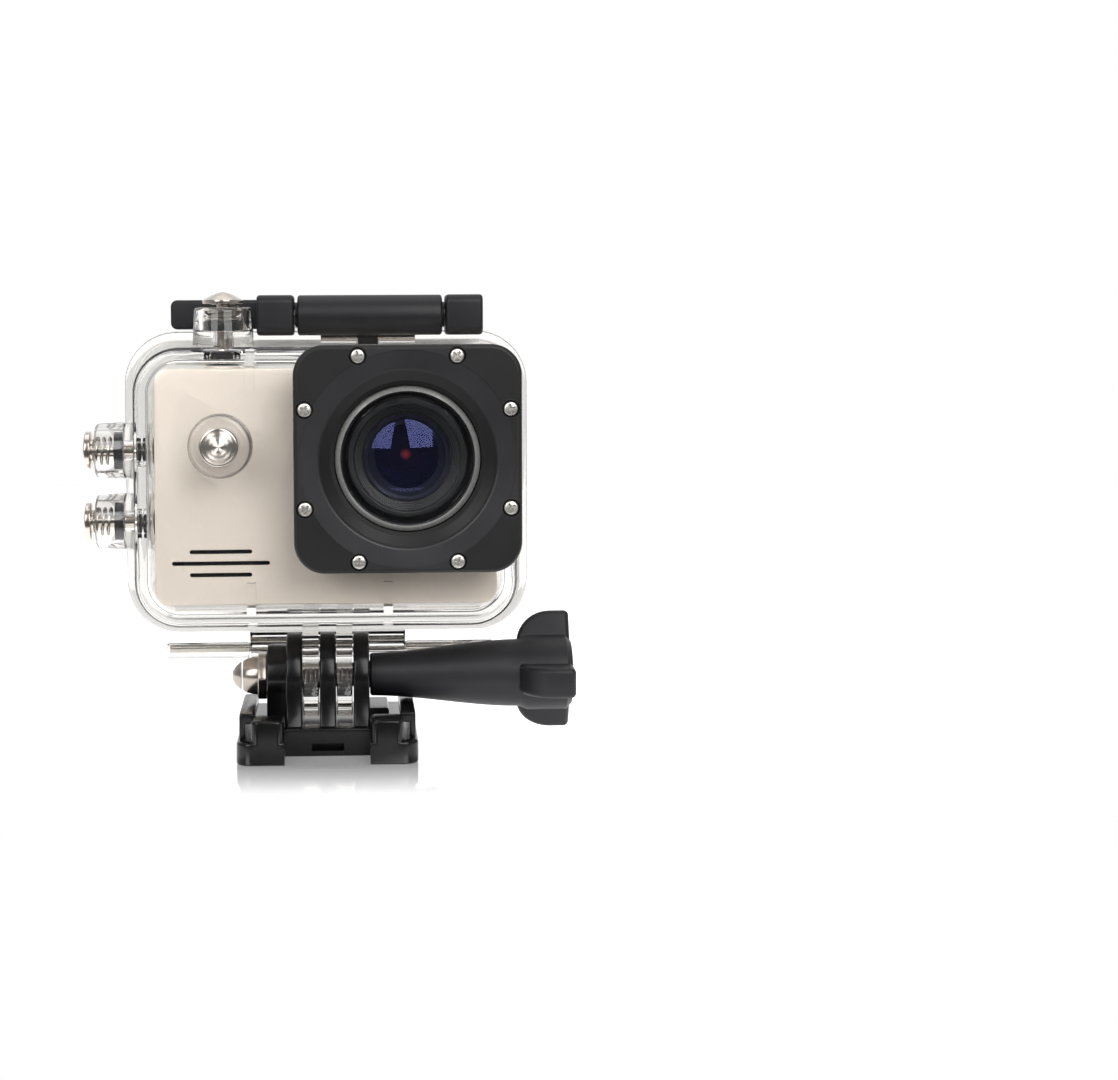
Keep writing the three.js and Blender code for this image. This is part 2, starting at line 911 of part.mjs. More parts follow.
// Ribs on the floor, roof and front wall, which keep the camera from rattling.
function ribs() {
  const half = housing.ribWidth / 2;
  const frontInside = housingFront + housing.frontWall;
  const floor = housingBottom + housing.wall;
  const roof = housingTop - housing.wall;
  const back = cameraBack - 1;
  return housing.ribs.flatMap((x, i) => {
    const low = block(x - half, x + half, frontInside - 0.2, back, floor - 0.2, cameraBottom - seat);
    const lowFront = cameraBottom + housing.ribLength;
    const stopBack = camera.front - seat;
    const stop = block(x - half, x + half, frontInside - 0.2, stopBack, floor - 0.2, lowFront);
    if (i > 0) return [low, stop];
    const high = block(x - half, x + half, frontInside - 0.2, back, cameraTop + seat, roof + 0.2);
    const highFront = cameraTop - housing.ribLength;
    const upperStop = block(x - half, x + half, frontInside - 0.2, stopBack, highFront, roof + 0.2);
    return [low, stop, high, upperStop];
  });
}

function latchLugs() {
  const outline = new THREE.Shape();
  outline.moveTo(latch.lugY - latch.lugRadius, housingTop - 0.4);
  outline.lineTo(latch.lugY + latch.lugRadius, housingTop - 0.4);
  outline.lineTo(latch.lugY + latch.lugRadius, lugZ);
  outline.absarc(latch.lugY, lugZ, latch.lugRadius, 0, Math.PI);
  const inner = latch.tongueWidth / 2 + 0.25;
  return [-1, 1].map((side) => {
    const near = latch.tongueX + side * inner;
    const far = near + side * latch.lugWidth;
    return prism("x", outline, Math.min(near, far), Math.max(near, far), 0, 4);
  });
}

function bezelScrewPlaces() {
  const { screwNear: near, screwFar: far } = bezel;
  const corner = [
    [near, far],
    [far, near],
  ];
  return [
    [1, 1],
    [1, -1],
    [-1, -1],
    [-1, 1],
  ].flatMap(([u, v]) => corner.map(([x, z]) => [lens.x + u * x, lensZ + v * z]));
}

function frontShell() {
  const body = prism("y", housingOutline(0), housingFront, flangeFront + 2, housing.edge);
  const flange = prism("y", flangeOutline(0), flangeFront, cameraBack, 0.4);
  const portBlock = prism("y", squareAt(port.blockSize, port.blockCorner), blockFront, housingFront + 1);
  const tube = rod("y", port.tubeRadius, tubeFront, housingFront, [lens.x, lensZ], 32);
  const bosses = Object.values(stations).map((station) => atStation(boss(station), station));
  const outside = union(body, flange, portBlock, tube, fingers(), shellKnuckle(), ...bosses);
  const frontInside = housingFront + housing.frontWall;
  const inset = Math.min(housing.wall, housing.corner - 1);
  const cavity = prism("y", housingOutline(inset), frontInside, cameraBack + 1);
  const recessFront = blockFront + housing.frontWall;
  const bores = Object.values(stations).map((station) => atStation(bossBore(station), station));
  const screwHoles = bezelScrewPlaces().map((place) =>
    rod("y", bezelScrew.radius + slip, blockFront - 1, screwTip + slip, place, 8),
  );
  const hollow = cut(
    outside,
    cavity,
    rod("y", port.recessRadius, recessFront, frontInside + 1, [lens.x, lensZ], 32),
    rod("y", port.tubeBore, tubeFront - 1, frontInside, [lens.x, lensZ], 32),
    rod("x", screw.radius + seat, -20, 20, [0, 0], 24),
    rod("x", hinge.pinRadius + slip, -40, 40, [hingeY, hingeZ], 16),
    ...bores,
    ...screwHoles,
  );
  const withLugs = cut(
    union(hollow, ...latchLugs()),
    rod("x", latch.lugPinRadius + 0.1, -10, 30, [latch.lugY, lugZ], 12),
  );
  return union(withLugs, ...ribs());
}

piece("housing_front_shell", frontShell(), "clear", housingGroup);

// ---- Lens port ----

const portPlace = [lens.x, lensZ];

function portGlass() {
  const r = port.tubeRadius;
  return turned(
    "y",
    [
      [0, glassFront],
      [r - 0.5, glassFront],
      [r, glassFront + 0.5],
      [r, glassBack],
      [0, glassBack],
    ],
    portPlace,
    36,
  );
}

function portSeal() {
  const outer = port.tubeRadius - slip;
  return ring("y", outer - port.sealWidth, outer, sealFront, sealBack, portPlace, 32);
}

function lensBezel() {
  const plate = prism("y", squareAt(bezel.size, bezel.corner), bezelFront, bezelBack, 0.6);
  const throat = port.tubeRadius + slip;
  const opening = turned(
    "y",
    [
      [0, bezelFront - 1],
      [bezel.openingRadius, bezelFront - 1],
      [bezel.openingRadius, bezelFront + 0.4],
      [throat, glassFront],
      [throat, bezelBack + 1],
      [0, bezelBack + 1],
    ],
    portPlace,
    36,
  );
  const head = bezelScrew.headRadius + slip;
  const holes = bezelScrewPlaces().flatMap((place) => [
    rod("y", bezelScrew.radius + slip, bezelFront - 1, bezelBack + 1, place, 8),
    rod("y", head, bezelFront - 1, bezelFront + bezelScrew.headDepth + slip, place, 12),
  ]);
  return cut(plate, opening, ...holes);
}

// A pan head with a cross recess, made along Z with the top of its head at zero.
function screwShape() {
  const { headRadius, headDepth, radius } = bezelScrew;
  const length = screwTip - bezelFront;
  const blank = turned(
    "z",
    [
      [0, -length],
      [radius, -length],
      [radius, -headDepth],
      [headRadius, -headDepth],
      [headRadius, -0.25],
      [headRadius - 0.25, 0],
      [0, 0],
    ],
    [0, 0],
    8,
  );
  const arm = 0.8;
  const half = 0.17;
  const across = block(-arm, arm, -half, half, -0.45, 1);
  const along = block(-half, half, -arm, arm, -0.45, 1);
  return cut(blank, across, along);
}

piece("port_glass", portGlass(), "clear", housingGroup);
piece("port_seal", portSeal(), "rubber", housingGroup);
piece("lens_bezel", lensBezel(), "blackPlastic", housingGroup);

const screwSolid = screwShape();
bezelScrewPlaces().forEach(([x, z], i) => {
  const mesh = piece("bezel_screw_" + (i + 1), screwSolid, "steel", housingGroup);
  mesh.position.set(x, bezelFront, z);
  mesh.rotation.x = Math.PI / 2;
});

// ---- Rear door ----

const gasketMiddle = door.gasketInset + door.gasketWidth / 2;

function loop(outline, width, from, to) {
  return cut(
    prism("y", outline(gasketMiddle - width / 2), from, to),
    prism("y", outline(gasketMiddle + width / 2), from - 1, to + 1),
  );
}

function doorKnuckle(left, right) {
  const outline = [
    [doorFront + 0.6, flangeBottom + 0.5],
    [hingeY - 1.9, hingeZ + 0.6],
    [hingeY + 1.9, hingeZ + 0.6],
    [doorBack - 1.5, flangeBottom + 0.5],
  ];
  return hingeKnuckle(left, right, outline);
}

function rearDoor() {
  const slab = prism("y", flangeOutline(0), doorFront, doorBack, door.edge);
  const middle = (cameraBottom + cameraTop) / 2;
  const halfWidth = door.windowWidth / 2;
  const halfHeight = door.windowHeight / 2;
  const low = middle - halfHeight;
  const high = middle + halfHeight;
  const outline = rectangle(-halfWidth, halfWidth, low, high, door.windowCorner);
  const recess = prism("y", outline, doorFront + door.windowWall, doorBack + 1);
  const lipLeft = latch.barLeft - 3;
  const lipRight = latch.barRight + 3;
  const lip = block(lipLeft, lipRight, doorFront + door.edge, lipBack, flangeTop - 2, lipTop);
  const left = doorKnuckle(hinge.left, hinge.middleLeft - seat);
  const right = doorKnuckle(hinge.middleRight + seat, hinge.right);
  const groove = loop(
    flangeOutline,
    door.gasketWidth + 2 * slip,
    doorFront - 1,
    doorFront + door.gasketHeight + slip,
  );
  return cut(
    union(slab, lip, left, right),
    recess,
    groove,
    rod("x", hinge.pinRadius + slip, -40, 40, [hingeY, hingeZ], 16),
  );
}

piece("housing_rear_door", rearDoor(), "clear", housingGroup);
piece(
  "door_gasket",
  loop(flangeOutline, door.gasketWidth, doorFront - slip, doorFront + door.gasketHeight - slip),
  "silicone",
  housingGroup,
);
piece(
  "door_hinge_pin",
  rod("x", hinge.pinRadius, hinge.left + 0.5, hinge.right - 0.5, [hingeY, hingeZ], 16),
  "steel",
  housingGroup,
);

// ---- Latch ----

const leverPlace = [latch.y, leverZ];
const leftKnuckle = latch.barLeft - latch.knuckleGap - latch.knuckleWidth;
const rightKnuckle = latch.barRight + latch.knuckleGap + latch.knuckleWidth;
const plateLow = lipTop + 0.4;
const plateHigh = plateLow + latch.plateThickness;
const pinEnd = 1.6; // how far short of the knuckles' outer faces the lever's pin stops

// The bar that the lever turns on, with a tongue down to its own pin between the two lugs.
function latchBar() {
  const bar = rod("x", latch.barRadius, latch.barLeft, latch.barRight, leverPlace, 32);
  const left = latch.tongueX - latch.tongueWidth / 2;
  const right = left + latch.tongueWidth;
  const tip = latch.lugRadius - 0.2;
  const outline = new THREE.Shape();
  outline.moveTo(latch.y - 1, leverZ - latch.barRadius + 0.6);
  outline.lineTo(latch.lugY - tip, lugZ);
  outline.absarc(latch.lugY, lugZ, tip, Math.PI, 2 * Math.PI);
  outline.lineTo(latch.lugY + tip, lugZ);
  outline.lineTo(latch.y + latch.barRadius - 0.5, leverZ - 0.5);
  outline.lineTo(latch.y, leverZ);
  return cut(
    union(bar, prism("x", outline, left, right, 0, 4)),
    rod("x", latch.pinRadius + 0.1, -20, 40, leverPlace, 16),
    rod("x", latch.lugPinRadius + 0.1, -10, 30, [latch.lugY, lugZ], 12),
  );
}

// Two knuckles, the plate over the seam with its claw behind the door's lip, and the thumb tab.
function latchLever() {
  const half = latch.knuckleSize / 2;
  const outline = rectangle(latch.y - half, latch.y + half + 1, leverZ - half, leverZ + half, 1.3);
  const knuckles = [
    prism("x", outline, leftKnuckle, leftKnuckle + latch.knuckleWidth, 0.5, 2),
    prism("x", outline, rightKnuckle - latch.knuckleWidth, rightKnuckle, 0.5, 2),
  ];
  const plateFront = latch.y + latch.barRadius + 0.3;
  const plateOutline = rectangle(leftKnuckle, rightKnuckle, plateFront, plateBack, 0.8);
  const plate = prism("z", plateOutline, plateLow, plateHigh, 0, 2);
  const clawFront = lipBack + latch.clawGap;
  const clawLow = lipTop - latch.clawGrip;
  const claw = block(
    latch.barLeft - 3,
    latch.barRight + 3,
    clawFront,
    plateBack,
    clawLow,
    plateLow + 1,
  );
  const tabLow = leverZ - latch.tabDrop;
  const tabHigh = leverZ + latch.tabRise;
  const tabOutline = rectangle(
    leftKnuckle - latch.tabLength,
    leftKnuckle + 1.5,
    tabLow,
    tabHigh,
    1,
  );
  const tab = prism("y", tabOutline, plateBack - latch.tabDepth, plateBack, 0.5, 2);
  const bore = rod(
    "x",
    latch.pinRadius + slip,
    leftKnuckle + pinEnd - seat,
    rightKnuckle - pinEnd + seat,
    leverPlace,
    16,
  );
  return cut(union(...knuckles, plate, claw, tab), bore);
}

piece("latch_bar", latchBar(), "blackPlastic", housingGroup);
piece("latch_lever", latchLever(), "blackPlastic", housingGroup);
piece(
  "latch_lever_pin",
  rod("x", latch.pinRadius, leftKnuckle + pinEnd, rightKnuckle - pinEnd, leverPlace, 16),
  "steel",
  housingGroup,
);
piece(
  "latch_bar_pin",
  rod(
    "x",
    latch.lugPinRadius,
    latch.tongueX - latch.tongueWidth / 2 - latch.lugWidth,
    latch.tongueX + latch.tongueWidth / 2 + latch.lugWidth,
    [latch.lugY, lugZ],
    12,
  ),
  "steel",
  housingGroup,
);

// ---- Buckle ----

function prongs() {
  const outline = new THREE.Shape();
  const root = buckle.prongRadius + 1;
  outline.moveTo(-root, 1);
  outline.lineTo(root, 1);
  outline.lineTo(root, buckle.gapFloor);
  outline.lineTo(buckle.prongRadius, buckle.gapFloor + 2);
  outline.lineTo(buckle.prongRadius, buckle.screwHeight);
  outline.absarc(0, buckle.screwHeight, buckle.prongRadius, 0, Math.PI);
  outline.lineTo(-buckle.prongRadius, buckle.gapFloor + 2);
  outline.lineTo(-root, buckle.gapFloor);
  const pitch = buckle.prongThickness + buckle.gap;
  const half = buckle.prongThickness / 2;
  return [-pitch, 0, pitch].map((x) => prism("x", outline, x - half, x + half, 0.2, 5));
}

// A thin wall on the rail, with its top turned in, that the fingers squeeze.
function squeezeArm(side) {
  const outer = side * (buckle.width / 2 - 0.4);
  const inner = side * (buckle.width / 2 - 0.4 - buckle.armWall);
  const lip = side * (buckle.width / 2 - 0.4 - 2 * buckle.armWall);
  const low = buckle.railHeight - 0.3;
  const lipLow = buckle.armTop - buckle.armLip;
  const sorted = (a, b) => [Math.min(a, b), Math.max(a, b)];
  const [wallLeft, wallRight] = sorted(outer, inner);
  const [lipLeft, lipRight] = sorted(outer, lip);
  return union(
    block(wallLeft, wallRight, buckle.armFront, buckle.armBack, low, buckle.armTop),
    block(lipLeft, lipRight, buckle.armFront, buckle.armBack, lipLow, buckle.armTop),
  );
}

function frontBlock(side) {
  const near = side * prongOutside;
  const far = side * (prongOutside + buckle.blockWidth);
  const back = buckle.front + buckle.blockDepth;
  const outline = rectangle(Math.min(near, far), Math.max(near, far), buckle.front, back, 1.2);
  return prism("z", outline, 1, buckle.blockTop, 0, 2);
}

function buckleBody() {
  const half = buckle.width / 2;
  const railOutline = rectangle(-half, half, buckle.front, buckle.back, buckle.railCorner);
  const rails = prism("z", railOutline, 0, buckle.railHeight, 0, 3);
  const recessBack = buckle.front + buckle.recessDepth;
  const recess = block(
    -prongOutside,
    prongOutside,
    buckle.front - 1,
    recessBack,
    -1,
    buckle.gapFloor + 1,
  );
  const pedestal = block(
    -prongOutside,
    prongOutside,
    recessBack,
    -recessBack,
    1,
    buckle.gapFloor,
  );
  const bossLeft = -prongOutside - buckle.sideBoss;
  const nutBoss = union(
    rod("x", buckle.sideBossRadius, bossLeft, -prongOutside + 0.3, [0, buckle.screwHeight], 28),
    block(bossLeft, -prongOutside + 0.3, -5, 5, 1, buckle.screwHeight),
  );
  const stopRight = prongOutside + buckle.sideBoss;
  const stop = block(prongOutside - 0.3, stopRight, -6, 5, 1, buckle.stopHeight);
  const slot = block(
    -buckle.slotWidth / 2,
    buckle.slotWidth / 2,
    recessBack - 1,
    recessBack + buckle.slotDepth,
    0.9,
    0.9 + buckle.slotHeight,
  );
  const bore = rod("x", screw.radius + seat, -20, 20, [0, buckle.screwHeight], 24);
  return cut(
    union(
      cut(rails, recess),
      pedestal,
      ...prongs(),
      nutBoss,
      stop,
      ...[-1, 1].flatMap((side) => [squeezeArm(side), frontBlock(side)]),
    ),
    bore,
    slot,
  );
}

// ---- Thumb screw, made along X from the screw axis ----

const nutFace = -prongOutside - buckle.sideBoss - slip;

function acornNut() {
  const r = screw.domeRadius;
  const end = nutFace - screw.nutLength;
  const dome = turned(
    "x",
    [
      [0, end],
      [0.45 * r, end + 0.12 * r],
      [0.75 * r, end + 0.4 * r],
      [0.92 * r, end + 0.75 * r],
      [r, end + 1.2 * r],
      [r, nutFace - 0.2],
      [0, nutFace - 0.2],
    ],
    [0, 0],
    20,
  );
  const hexRadius = screw.hexAcross / 2 / Math.cos(Math.PI / 6);
  const hex = rod("x", hexRadius, nutFace - screw.hexLength, nutFace, [0, 0], 6);
  const bore = rod("x", screw.radius + seat, nutFace - screw.tipDepth - seat, nutFace + 1, [0, 0], 20);
  return cut(union(dome, hex), bore);
}

const knobFace = prongOutside + slip;

function clampBolt() {
  const tip = nutFace - screw.tipDepth;
  return turned(
    "x",
    [
      [0, tip],
      [screw.radius - 0.5, tip],
      [screw.radius, tip + 0.5],
      [screw.radius, knobFace + screw.inKnob],
      [0, knobFace + screw.inKnob],
    ],
    [0, 0],
    24,
  );
}

// One lobe of the knob's head: a bar with a round end, pointing along +Y of its outline.
function lobeOutline() {
  const half = knob.lobeWidth / 2;
  const reach = knob.lobeReach - half;
  const outline = new THREE.Shape();
  outline.moveTo(-half - 1, 0);
  outline.lineTo(half + 1, 0);
  outline.lineTo(half, reach);
  outline.absarc(0, reach, half, 0, Math.PI);
  return outline;
}

function thumbKnob() {
  const headStart = knobFace + knob.shaftLength;
  const headEnd = headStart + knob.headLength;
  const flare = new THREE.CubicBezierCurve(
    new THREE.Vector2(knob.shaftRadius, knobFace),
    new THREE.Vector2(knob.shaftRadius, knobFace + 0.45 * knob.shaftLength),
    new THREE.Vector2(knob.flareRadius - 0.9, knobFace + 0.6 * knob.shaftLength),
    new THREE.Vector2(knob.flareRadius, headStart + 0.5),
  );
  const shaft = turned(
    "x",
    [
      [0, knobFace],
      ...flare.getPoints(7).map((point) => [point.x, point.y]),
      [knob.coreRadius, headStart + 2],
      [knob.coreRadius, headEnd - 1],
      [knob.coreRadius - 1, headEnd],
      [0, headEnd],
    ],
    [0, 0],
    24,
  );
  const lobes = [0, 1, 2].map((i) => {
    const lobe = prism("x", lobeOutline(), headStart + 0.4, headEnd, knob.edge, 3);
    return lobe.rotate([knob.turn + 120 * i, 0, 0]);
  });
  const bore = rod(
    "x",
    screw.radius + slip,
    knobFace - 1,
    knobFace + screw.inKnob + seat,
    [0, 0],
    20,
  );
  return cut(union(shaft, ...lobes), bore);
}

piece("buckle_body", buckleBody(), "glossBlack", mountGroup);

const screwGroup = new THREE.Group(); // its origin is on the screw axis, between the prongs
screwGroup.position.z = buckle.screwHeight;
mountGroup.add(screwGroup);
piece("acorn_nut", acornNut(), "steel", screwGroup);
piece("clamp_bolt", clampBolt(), "steel", screwGroup);
piece("thumb_knob", thumbKnob(), "blackPlastic", screwGroup);

export default object;
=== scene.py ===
import json
from math import asin, cos, pi, radians, sin

import bmesh
import bpy
from mathutils import Matrix, Vector


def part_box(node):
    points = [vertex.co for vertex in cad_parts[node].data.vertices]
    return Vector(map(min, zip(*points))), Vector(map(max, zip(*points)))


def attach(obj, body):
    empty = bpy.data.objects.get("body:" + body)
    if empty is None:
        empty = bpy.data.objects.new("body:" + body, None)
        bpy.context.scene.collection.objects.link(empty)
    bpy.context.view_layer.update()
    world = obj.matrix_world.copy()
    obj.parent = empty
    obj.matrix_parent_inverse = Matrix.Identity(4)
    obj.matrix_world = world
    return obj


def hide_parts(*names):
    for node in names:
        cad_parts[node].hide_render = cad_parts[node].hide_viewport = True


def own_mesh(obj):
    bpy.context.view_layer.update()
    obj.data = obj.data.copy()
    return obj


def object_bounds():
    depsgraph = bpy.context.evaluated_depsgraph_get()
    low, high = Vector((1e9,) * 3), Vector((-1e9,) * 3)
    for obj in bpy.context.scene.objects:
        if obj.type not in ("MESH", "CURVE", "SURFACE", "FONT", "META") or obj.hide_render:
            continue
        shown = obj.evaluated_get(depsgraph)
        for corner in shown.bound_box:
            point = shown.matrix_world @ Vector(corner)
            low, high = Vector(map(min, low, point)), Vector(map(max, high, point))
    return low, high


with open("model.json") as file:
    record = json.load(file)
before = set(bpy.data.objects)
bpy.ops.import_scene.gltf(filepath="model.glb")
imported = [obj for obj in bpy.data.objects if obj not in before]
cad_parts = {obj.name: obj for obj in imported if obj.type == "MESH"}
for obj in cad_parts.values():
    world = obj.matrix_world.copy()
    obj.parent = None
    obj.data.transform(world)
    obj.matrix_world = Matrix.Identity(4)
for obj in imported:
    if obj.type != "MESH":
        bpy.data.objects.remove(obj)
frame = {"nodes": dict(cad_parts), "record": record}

cadLow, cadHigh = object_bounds()
scene = bpy.context.scene
record = frame["record"]
bodyOf = {node: body for body, nodes in record["behaviour"]["bodies"].items() for node in nodes}
toMetres = 0.001          # shapes are drawn in millimetres and scaled when they are done
print("frame loaded:", len(bodyOf), "nodes")


def box(node):
    low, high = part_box(node)
    return low / toMetres, high / toMetres


# shapes

directions = {"x": Vector((1, 0, 0)), "y": Vector((0, 1, 0)), "z": Vector((0, 0, 1))}
order = {"x": 0, "y": 1, "z": 2}


# across x a place is (y, z), across y it is (x, z) and across z it is (x, y)
def spot(axis, u, v, level):
    if axis == "x":
        return Vector((level, u, v))
    if axis == "y":
        return Vector((u, level, v))
    return Vector((u, v, level))


def blank(bm):
    bmesh.ops.remove_doubles(bm, verts=bm.verts, dist=0.0005)
    bmesh.ops.recalc_face_normals(bm, faces=bm.faces)
    mesh = bpy.data.meshes.new("blank")
    bm.to_mesh(mesh)
    bm.free()
    obj = bpy.data.objects.new("blank", mesh)
    scene.collection.objects.link(obj)
    return obj


def rounded(bm, geom, radius, steps, affect="EDGES"):
    bmesh.ops.bevel(
        bm, geom=geom, offset=radius, offset_type="OFFSET", segments=steps, profile=0.5,
        affect=affect, material=-1, clamp_overlap=True,
    )


# an outline of (u, v) or (u, v, corner radius) points, carried along an axis from low to high
def slab(axis, outline, low, high, lowRim=0, highRim=0, steps=10, rimSteps=4):
    bm = bmesh.new()
    face = bm.faces.new([bm.verts.new(spot(axis, p[0], p[1], low)) for p in outline])
    grown = bmesh.ops.extrude_face_region(bm, geom=[face])["geom"]
    moved = [v for v in grown if isinstance(v, bmesh.types.BMVert)]
    bmesh.ops.translate(bm, verts=moved, vec=directions[axis] * (high - low))
    k = order[axis]
    for radius in sorted({p[2] for p in outline if len(p) > 2 and p[2] > 0}):
        places = [spot(axis, p[0], p[1], low) for p in outline if len(p) > 2 and p[2] == radius]
        edges = [
            e for e in bm.edges
            if abs(e.verts[0].co[k] - e.verts[1].co[k]) > 0.5 * (high - low)
            and any((min(e.verts, key=lambda v: v.co[k]).co - p).length < 0.01 for p in places)
        ]
        rounded(bm, edges, radius, steps)
    for level, rim in ((low, lowRim), (high, highRim)):
        if rim:
            edges = [e for e in bm.edges if all(abs(v.co[k] - level) < 0.001 for v in e.verts)]
            rounded(bm, edges, rim, rimSteps)
    return blank(bm)


def corners(left, right, low, high, radius=0):
    return [(left, low, radius), (right, low, radius), (right, high, radius), (left, high, radius)]


def cornersOf(low, high, grow, radius=0):
    return corners(low.x - grow, high.x + grow, low.z - grow, high.z + grow, radius)


def brick(left, right, front, back, low, high, radius=0):
    return slab("y", corners(left, right, low, high, radius), front, back)


# a profile of (radius, level) or (radius, level, softening) points turned about an axis
def turned(axis, centre, profile, steps=96, closed=False):
    bm = bmesh.new()
    made = [bm.verts.new(spot(axis, centre[0] + p[0], centre[1], p[1])) for p in profile]
    for pair in zip(made, made[1:]):
        bm.edges.new(pair)
    if closed:
        bm.edges.new((made[-1], made[0]))
    soft = [(v, p[2]) for v, p in zip(made, profile) if len(p) > 2]
    for radius in sorted({r for _, r in soft}):
        rounded(bm, [v for v, r in soft if r == radius], radius, 4, "VERTICES")
    bmesh.ops.spin(
        bm, geom=bm.verts[:] + bm.edges[:], cent=spot(axis, *centre, 0), axis=directions[axis],
        angle=2 * pi, steps=steps, use_merge=True, use_normal_flip=False, use_duplicate=False,
    )
    return blank(bm)


def band(inner, outer, low, high, soft=0.0):
    rim = (soft,) if soft else ()
    return [(inner, low, *rim), (outer, low, *rim), (outer, high, *rim), (inner, high, *rim)]


def solidBand(radius, low, high, soft=0.0):
    return [(0, low), *band(0, radius, low, high, soft)[1:3], (0, high)]


def rod(axis, centre, radius, low, high, soft=0.0, steps=64):
    return turned(axis, centre, solidBand(radius, low, high, soft), steps)


def ringOf(axis, centre, inner, outer, low, high, soft=0.0, steps=96):
    return turned(axis, centre, band(inner, outer, low, high, soft), steps, closed=True)


# one solid from several: the added ones joined to the first, and the cut ones taken away
def merged(base, add=(), cut=(), solver="MANIFOLD"):
    for operation, tools in (("UNION", add), ("DIFFERENCE", cut)):
        for tool in tools:
            boolean = base.modifiers.new("join", "BOOLEAN")
            boolean.operation = operation
            boolean.solver = solver
            boolean.object = tool
    bpy.context.view_layer.update()
    seen = base.evaluated_get(bpy.context.evaluated_depsgraph_get())
    mesh = bpy.data.meshes.new_from_object(seen)
    base.modifiers.clear()
    old = base.data
    base.data = mesh
    bpy.data.meshes.remove(old)
    for tool in (*add, *cut):
        bpy.data.objects.remove(tool)
    return base


def turnedAbout(obj, axis, centre, angle):
    place = spot(axis, *centre, 0)
    obj.data.transform(Matrix.Translation(place) @ Matrix.Rotation(angle, 4, axis.upper())
                       @ Matrix.Translation(-place))
    return obj


# the piece is scaled to metres, painted and put on the body of the nodes that it stands for
def settle(name, obj, finish, *nodes, edge=0.0, sharpAngle=32, edgeSteps=2):
    obj.name = name
    obj.data.name = name
    obj.data.transform(Matrix.Scale(toMetres, 4))
    chosen = [face.material_index for face in obj.data.polygons]
    obj.data.materials.clear()
    for one in finish if isinstance(finish, (list, tuple)) else [finish]:
        obj.data.materials.append(one.material)
    obj.data.polygons.foreach_set("material_index", chosen)
    obj.data.shade_smooth()
    if edge:
        bevel = obj.modifiers.new("edges", "BEVEL")
        bevel.width = edge * toMetres
        bevel.segments = edgeSteps
        bevel.limit_method = "ANGLE"
        bevel.angle_limit = radians(sharpAngle)
        bevel.harden_normals = True
        bevel.miter_outer = "MITER_ARC"
    else:
        obj.data.set_sharp_from_angle(angle=radians(sharpAngle))
    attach(obj, bodyOf[nodes[0]])
    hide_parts(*nodes)
    return obj


# finishes

class Wire:
    def __init__(self, finish, socket):
        self.finish = finish
        self.socket = socket

    def __add__(self, other):
        return self.finish.maths("ADD", self, other)

    def __radd__(self, other):
        return self.finish.maths("ADD", other, self)

    def __sub__(self, other):
        return self.finish.maths("SUBTRACT", self, other)

    def __rsub__(self, other):
        return self.finish.maths("SUBTRACT", other, self)

    def __mul__(self, other):
        return self.finish.maths("MULTIPLY", self, other)

    def __rmul__(self, other):
        return self.finish.maths("MULTIPLY", other, self)


class Finish:
    def __init__(self, name, constants):
        self.material = bpy.data.materials.new(name)
        self.material.use_nodes = True
        self.tree = self.material.node_tree
        self.tree.nodes.clear()
        self.output = self.tree.nodes.new("ShaderNodeOutputMaterial")
        self.shader = self.tree.nodes.new("ShaderNodeBsdfPrincipled")
        self.tree.links.new(self.shader.outputs[0], self.output.inputs[0])
        for socket, value in constants.items():
            self.shader.inputs[socket].default_value = value

    def put(self, socket, value):
        if isinstance(value, Wire):
            self.tree.links.new(value.socket, socket)
        else:
            socket.default_value = value

    def node(self, kind, settings, inputs, output=0):
        made = self.tree.nodes.new(kind)
        for key, value in settings.items():
            if key != "stops":
                setattr(made, key, value)
                continue
            stops = made.color_ramp.elements
            while len(stops) < len(value):
                stops.new(1)
            for stop, (place, colour) in zip(stops, value):
                stop.position = place
                stop.color = colour
        for socket, value in inputs.items():
            self.put(made.inputs[socket], value)
        return Wire(self, made.outputs[output])

    def maths(self, operation, a, b):
        return self.node("ShaderNodeMath", {"operation": operation}, {0: a, 1: b})

    def feed(self, **values):
        for name, value in values.items():
            self.put(self.shader.inputs[name.replace("_", " ")], value)

    def place(self, centre=(0, 0, 0), scale=(1, 1, 1)):
        here = self.node("ShaderNodeTexCoord", {}, {}, "Object")
        return self.node(
            "ShaderNodeMapping", {"vector_type": "POINT"},
            {"Vector": here, "Location": [-c * s for c, s in zip(centre, scale)], "Scale": scale},
        )

    def noise(self, scale, detail=2, stretch=(1, 1, 1)):
        return self.node(
            "ShaderNodeTexNoise", {},
            {"Vector": self.place(scale=stretch), "Scale": scale, "Detail": detail},
        )

    def mix(self, factor, first, second):
        return self.node(
            "ShaderNodeMix", {"data_type": "RGBA"}, {0: factor, 6: first, 7: second}, 2,
        )

    # the piece's own shader, and another one where the factor is 1
    def mixShader(self, factor, other):
        own = Wire(self, self.shader.outputs[0])
        mixed = self.node("ShaderNodeMixShader", {}, {0: factor, 1: own, 2: other})
        self.put(self.output.inputs[0], mixed)
        return self

    def bump(self, height, depth, strength=1.0):
        return self.node(
            "ShaderNodeBump", {}, {"Height": height, "Distance": depth, "Strength": strength},
        )


def shade(red, green, blue):
    def linear(value):
        value /= 255
        return value / 12.92 if value <= 0.04045 else ((value + 0.055) / 1.055) ** 2.4
    return (linear(red), linear(green), linear(blue), 1)


champagneLook = {"colour": shade(240, 231, 221), "dark": shade(219, 209, 198), "grain": 5200}


